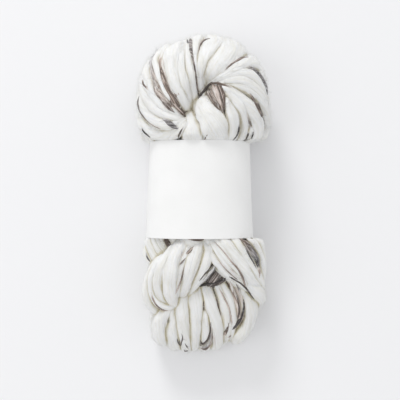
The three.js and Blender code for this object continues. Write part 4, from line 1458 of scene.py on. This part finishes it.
def dye_and_shade_colour(tree, streak, dye):
    """Brown or grey fibres, the darker the more dye there is; the same colours paint the dark lines of
    painted shade.
    """
    tone = maths(tree, "ADD", streak["middle"], maths(tree, "MULTIPLY", streak["fine"], FINE_IN_TONE))
    tone = maths(tree, "SUBTRACT", tone, TONE_DOWN)
    darker = maths(tree, "MULTIPLY", maths(tree, "SUBTRACT", dye, EVEN_DYE), DYE_DARKENS)
    tone = maths(tree, "SUBTRACT", tone, darker)
    brown = ramp(tree, tone, TONE_PLACES, BROWNS)
    grey = ramp(tree, tone, TONE_PLACES, GREYS)
    return mixed(tree, attribute(tree, "grey"), brown, grey)


def dye_and_shade_mask(tree, streak, dye):
    """Where fibres are dyed, and where the dark lines of painted shade lie: the more dye, the fewer undyed
    ones among them.
    """
    undyed = maths(tree, "MULTIPLY", streak["hair"], HAIR_UNDYED)
    undyed = maths(tree, "MULTIPLY_ADD", streak["broad"], BROAD_UNDYED, undyed)
    return from_to(tree, maths(tree, "SUBTRACT", maths(tree, "MULTIPLY", dye, DYE_COVERS), undyed), *DYE_EDGE)


def wool_material():
    """Undyed wool with painted crease shade, and streaks of brown and grey fibre and dark lines of painted
    shade where the strand's dye value says.
    """
    material, tree, shader = new_material("spun_wool", {
        "Roughness": 0.92,
        "Specular IOR Level": 0.15,
        "Sheen Weight": 0.25,
        "Sheen Roughness": 0.6,
        "Subsurface Weight": 0.15,
        "Subsurface Radius": (1.0, 0.9, 0.75),
        "Subsurface Scale": 1.5 * MM,
    })
    streak = wool_streaks(tree, streaks_group())
    dye = attribute(tree, "dye")
    cream = undyed_colour(tree, streak)
    dyed_and_shaded = dye_and_shade_colour(tree, streak, dye)
    feed(tree, mixed(tree, dye_and_shade_mask(tree, streak, dye), cream, dyed_and_shaded), shader.inputs["Base Color"])
    height = maths(tree, "MULTIPLY", streak["hair"], HAIR_BUMP)
    height = maths(tree, "MULTIPLY_ADD", streak["fine"], FINE_BUMP, height)
    height = maths(tree, "MULTIPLY_ADD", streak["middle"], MIDDLE_BUMP, height)
    bump = add_node(tree, "ShaderNodeBump", {"Height": height, "Strength": 0.8, "Distance": 1.2 * MM})
    feed(tree, bump.outputs[0], shader.inputs["Normal"])
    return material


# Paper: a soft grain and cloudiness
PAPER_WHITE = linear(240, 240, 239)
PAPER_CLOUD = linear(237, 237, 236)
PAPER_GRAIN = linear(236, 235, 232)
CLOUD_FROM, CLOUD_TO = 0.3, 0.7
GRAIN_FROM, GRAIN_TO, GRAIN_MOST = 0.45, 0.75, 0.35


def paper_material():
    """Uncoated white paper with a soft grain."""
    material, tree, shader = new_material("uncoated_paper", {"Roughness": 0.82, "Specular IOR Level": 0.3})
    place = object_place(tree)
    grain = add_node(tree, "ShaderNodeTexNoise", {"Vector": place, "Scale": 900.0, "Detail": 4.0}).outputs[0]
    cloud = add_node(tree, "ShaderNodeTexNoise", {"Vector": place, "Scale": 45.0, "Detail": 2.0}).outputs[0]
    shade = mixed(tree, from_to(tree, cloud, CLOUD_FROM, CLOUD_TO), PAPER_WHITE, PAPER_CLOUD)
    shade = mixed(tree, from_to(tree, grain, GRAIN_FROM, GRAIN_TO, 0, GRAIN_MOST), shade, PAPER_GRAIN)
    feed(tree, shade, shader.inputs["Base Color"])
    bump = add_node(tree, "ShaderNodeBump", {"Height": grain, "Strength": 0.25, "Distance": 0.08 * MM})
    feed(tree, bump.outputs[0], shader.inputs["Normal"])
    return material


# Paper band
def band_point(angle, y, inset):
    half_width = band_half_width(y) - inset
    half_height = BAND_HALF_HEIGHT - inset
    power = 2 / BAND_SQUARENESS
    x = half_width * math.copysign(abs(math.cos(angle)) ** power, math.cos(angle))
    z = BAND_AXIS_HEIGHT + half_height * math.copysign(abs(math.sin(angle)) ** power, math.sin(angle))
    return Vector((x, y, max(z, inset)))


def paper_noise(share, y, waves):
    """Smooth noise over the strip, with a number of waves round it and for each millimetre along it."""
    round_it, along_it, start = waves
    return noise.noise(Vector((share * round_it, y * along_it, start)))


def strip_inset(share, y):
    """How far the strip lies inside the band's outline: its overlap, its waves and its loose edges."""
    wave = PAPER_WAVE * paper_noise(share, y, WAVES)
    flare = EDGE_FLARE * math.exp((abs(y) - BAND_HALF_LENGTH) / FLARE_REACH)
    flare *= FLARE_EVEN + FLARE_UNEVEN * paper_noise(share, y, EDGE_WAVES)
    return PAPER_INSET + PAPER_LAP_INSET * share - wave - flare


def strip_layer(shell, layer):
    """Grid of one side of the strip, which starts and ends under the hank."""
    turn = 2 * math.pi + PAPER_LAP
    start = -math.pi / 2 - PAPER_LAP / 2
    grid = []
    for i in range(AROUND_BAND + 1):
        share = i / AROUND_BAND
        row = []
        for j in range(ALONG_BAND + 1):
            y = BAND_HALF_LENGTH * (1 - 2 * j / ALONG_BAND)
            point = band_point(start + turn * share, y, strip_inset(share, y) + layer)
            row.append(shell.verts.new(point * MM))
        grid.append(row)
    return grid


def paper_band(material):
    mesh = bpy.data.meshes.new("paper_strip")
    shell = bmesh.new()
    outer, inner = [strip_layer(shell, layer) for layer in (0, PAPER_THICK)]
    for i in range(AROUND_BAND):
        for j in range(ALONG_BAND):
            shell.faces.new((outer[i][j], outer[i][j + 1], outer[i + 1][j + 1], outer[i + 1][j]))
            shell.faces.new((inner[i][j], inner[i + 1][j], inner[i + 1][j + 1], inner[i][j + 1]))
    edge = [(i, 0) for i in range(AROUND_BAND)] + [(AROUND_BAND, j) for j in range(ALONG_BAND)]
    edge += [(i, ALONG_BAND) for i in range(AROUND_BAND, 0, -1)] + [(0, j) for j in range(ALONG_BAND, 0, -1)]
    for (i, j), (k, m) in zip(edge, edge[1:] + edge[:1]):
        shell.faces.new((outer[i][j], outer[k][m], inner[k][m], inner[i][j]))
    bmesh.ops.recalc_face_normals(shell, faces=shell.faces)
    shell.to_mesh(mesh)
    shell.free()
    mesh.materials.append(material)
    mesh.shade_smooth()
    mesh.set_sharp_from_angle(angle=SHARP_FROM)
    return new_object("paper_strip", mesh)


# Stage
def floor():
    material = new_material("studio_floor", {"Base Color": linear(238, 238, 239), "Roughness": 0.9})[0]
    mesh = bpy.data.meshes.new("studio_floor")
    corners = [(x * FLOOR_HALF_SIZE, y * FLOOR_HALF_SIZE, 0) for x, y in ((-1, -1), (1, -1), (1, 1), (-1, 1))]
    mesh.from_pydata(corners, [], [(0, 1, 2, 3)])
    mesh.materials.append(material)
    obj = new_object("studio_floor", mesh)


def lights():
    for name, spec in LIGHTS.items():
        light = bpy.data.lights.new(name, "AREA")
        light.shape = "DISK"
        light.size = spec["size"]
        light.energy = spec["power"]
        obj = new_object(name, light)
        obj.location = spec["place"]
        obj.rotation_euler = (-Vector(spec["place"])).to_track_quat("-Z", "Y").to_euler()
    world = bpy.data.worlds.new("soft_room")
    world.use_nodes = True
    background = world.node_tree.nodes["Background"]
    background.inputs["Color"].default_value = ROOM_COLOUR
    background.inputs["Strength"].default_value = ROOM_LIGHT
    bpy.context.scene.world = world
    bpy.context.scene.view_settings.view_transform = "Standard"


def camera():
    data = bpy.data.cameras.new("camera")
    data.sensor_width = CAMERA_SENSOR
    data.lens = CAMERA_LENS
    obj = new_object("camera", data)
    obj.location = (CAMERA_X * MM, CAMERA_Y * MM, CAMERA_HEIGHT * MM)
    bpy.context.scene.camera = obj


# The hank and its band
camera()
lights()
floor()
spun = spun_strand_tree()
wool = wool_material()
yarn = []
for piece_name, strands in all_strands().items():
    sweep = UNSEEN if piece_name in UNSEEN_PIECES else SEEN
    yarn.append(yarn_piece(piece_name, strands, spun, wool, **sweep))

ground = joined("ground", yarn)
bpy.context.view_layer.update()
loose_lines = [line_rows(ground, spec) for spec in LINES.values() if "plied" not in spec]
plied_lines = [line_rows(ground, spec) for spec in LINES.values() if "plied" in spec]
bpy.data.objects.remove(ground)
yarn.append(yarn_piece("dyed_lines", loose_lines, spun, wool, STEP, {"Sides": LINE_SIDES}))
yarn.append(yarn_piece("plied_lines", plied_lines, spun, wool, STEP, PLIED))

whole_yarn = joined("whole_yarn", yarn)
crease = crease_shade_tree()
fuzz = fuzz_tree()
for piece in yarn:
    # the crease mask, which steers the wool's painted crease shade
    apply_tree(piece, crease, {"Yarn": whole_yarn, "Material": wool})
    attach(piece, "root")
    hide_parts("yarn_hank")
for name, (low, high) in FUZZ_FROM_TO.items():
    hairs = new_object(name, whole_yarn.data)
    apply_tree(hairs, fuzz, {"Yarn": whole_yarn, "From": low * MM, "To": high * MM, "Material": wool})
    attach(hairs, "root")
    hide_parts("yarn_hank")
bpy.data.objects.remove(whole_yarn)

strip = paper_band(paper_material())
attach(strip, "root")
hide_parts("paper_band")
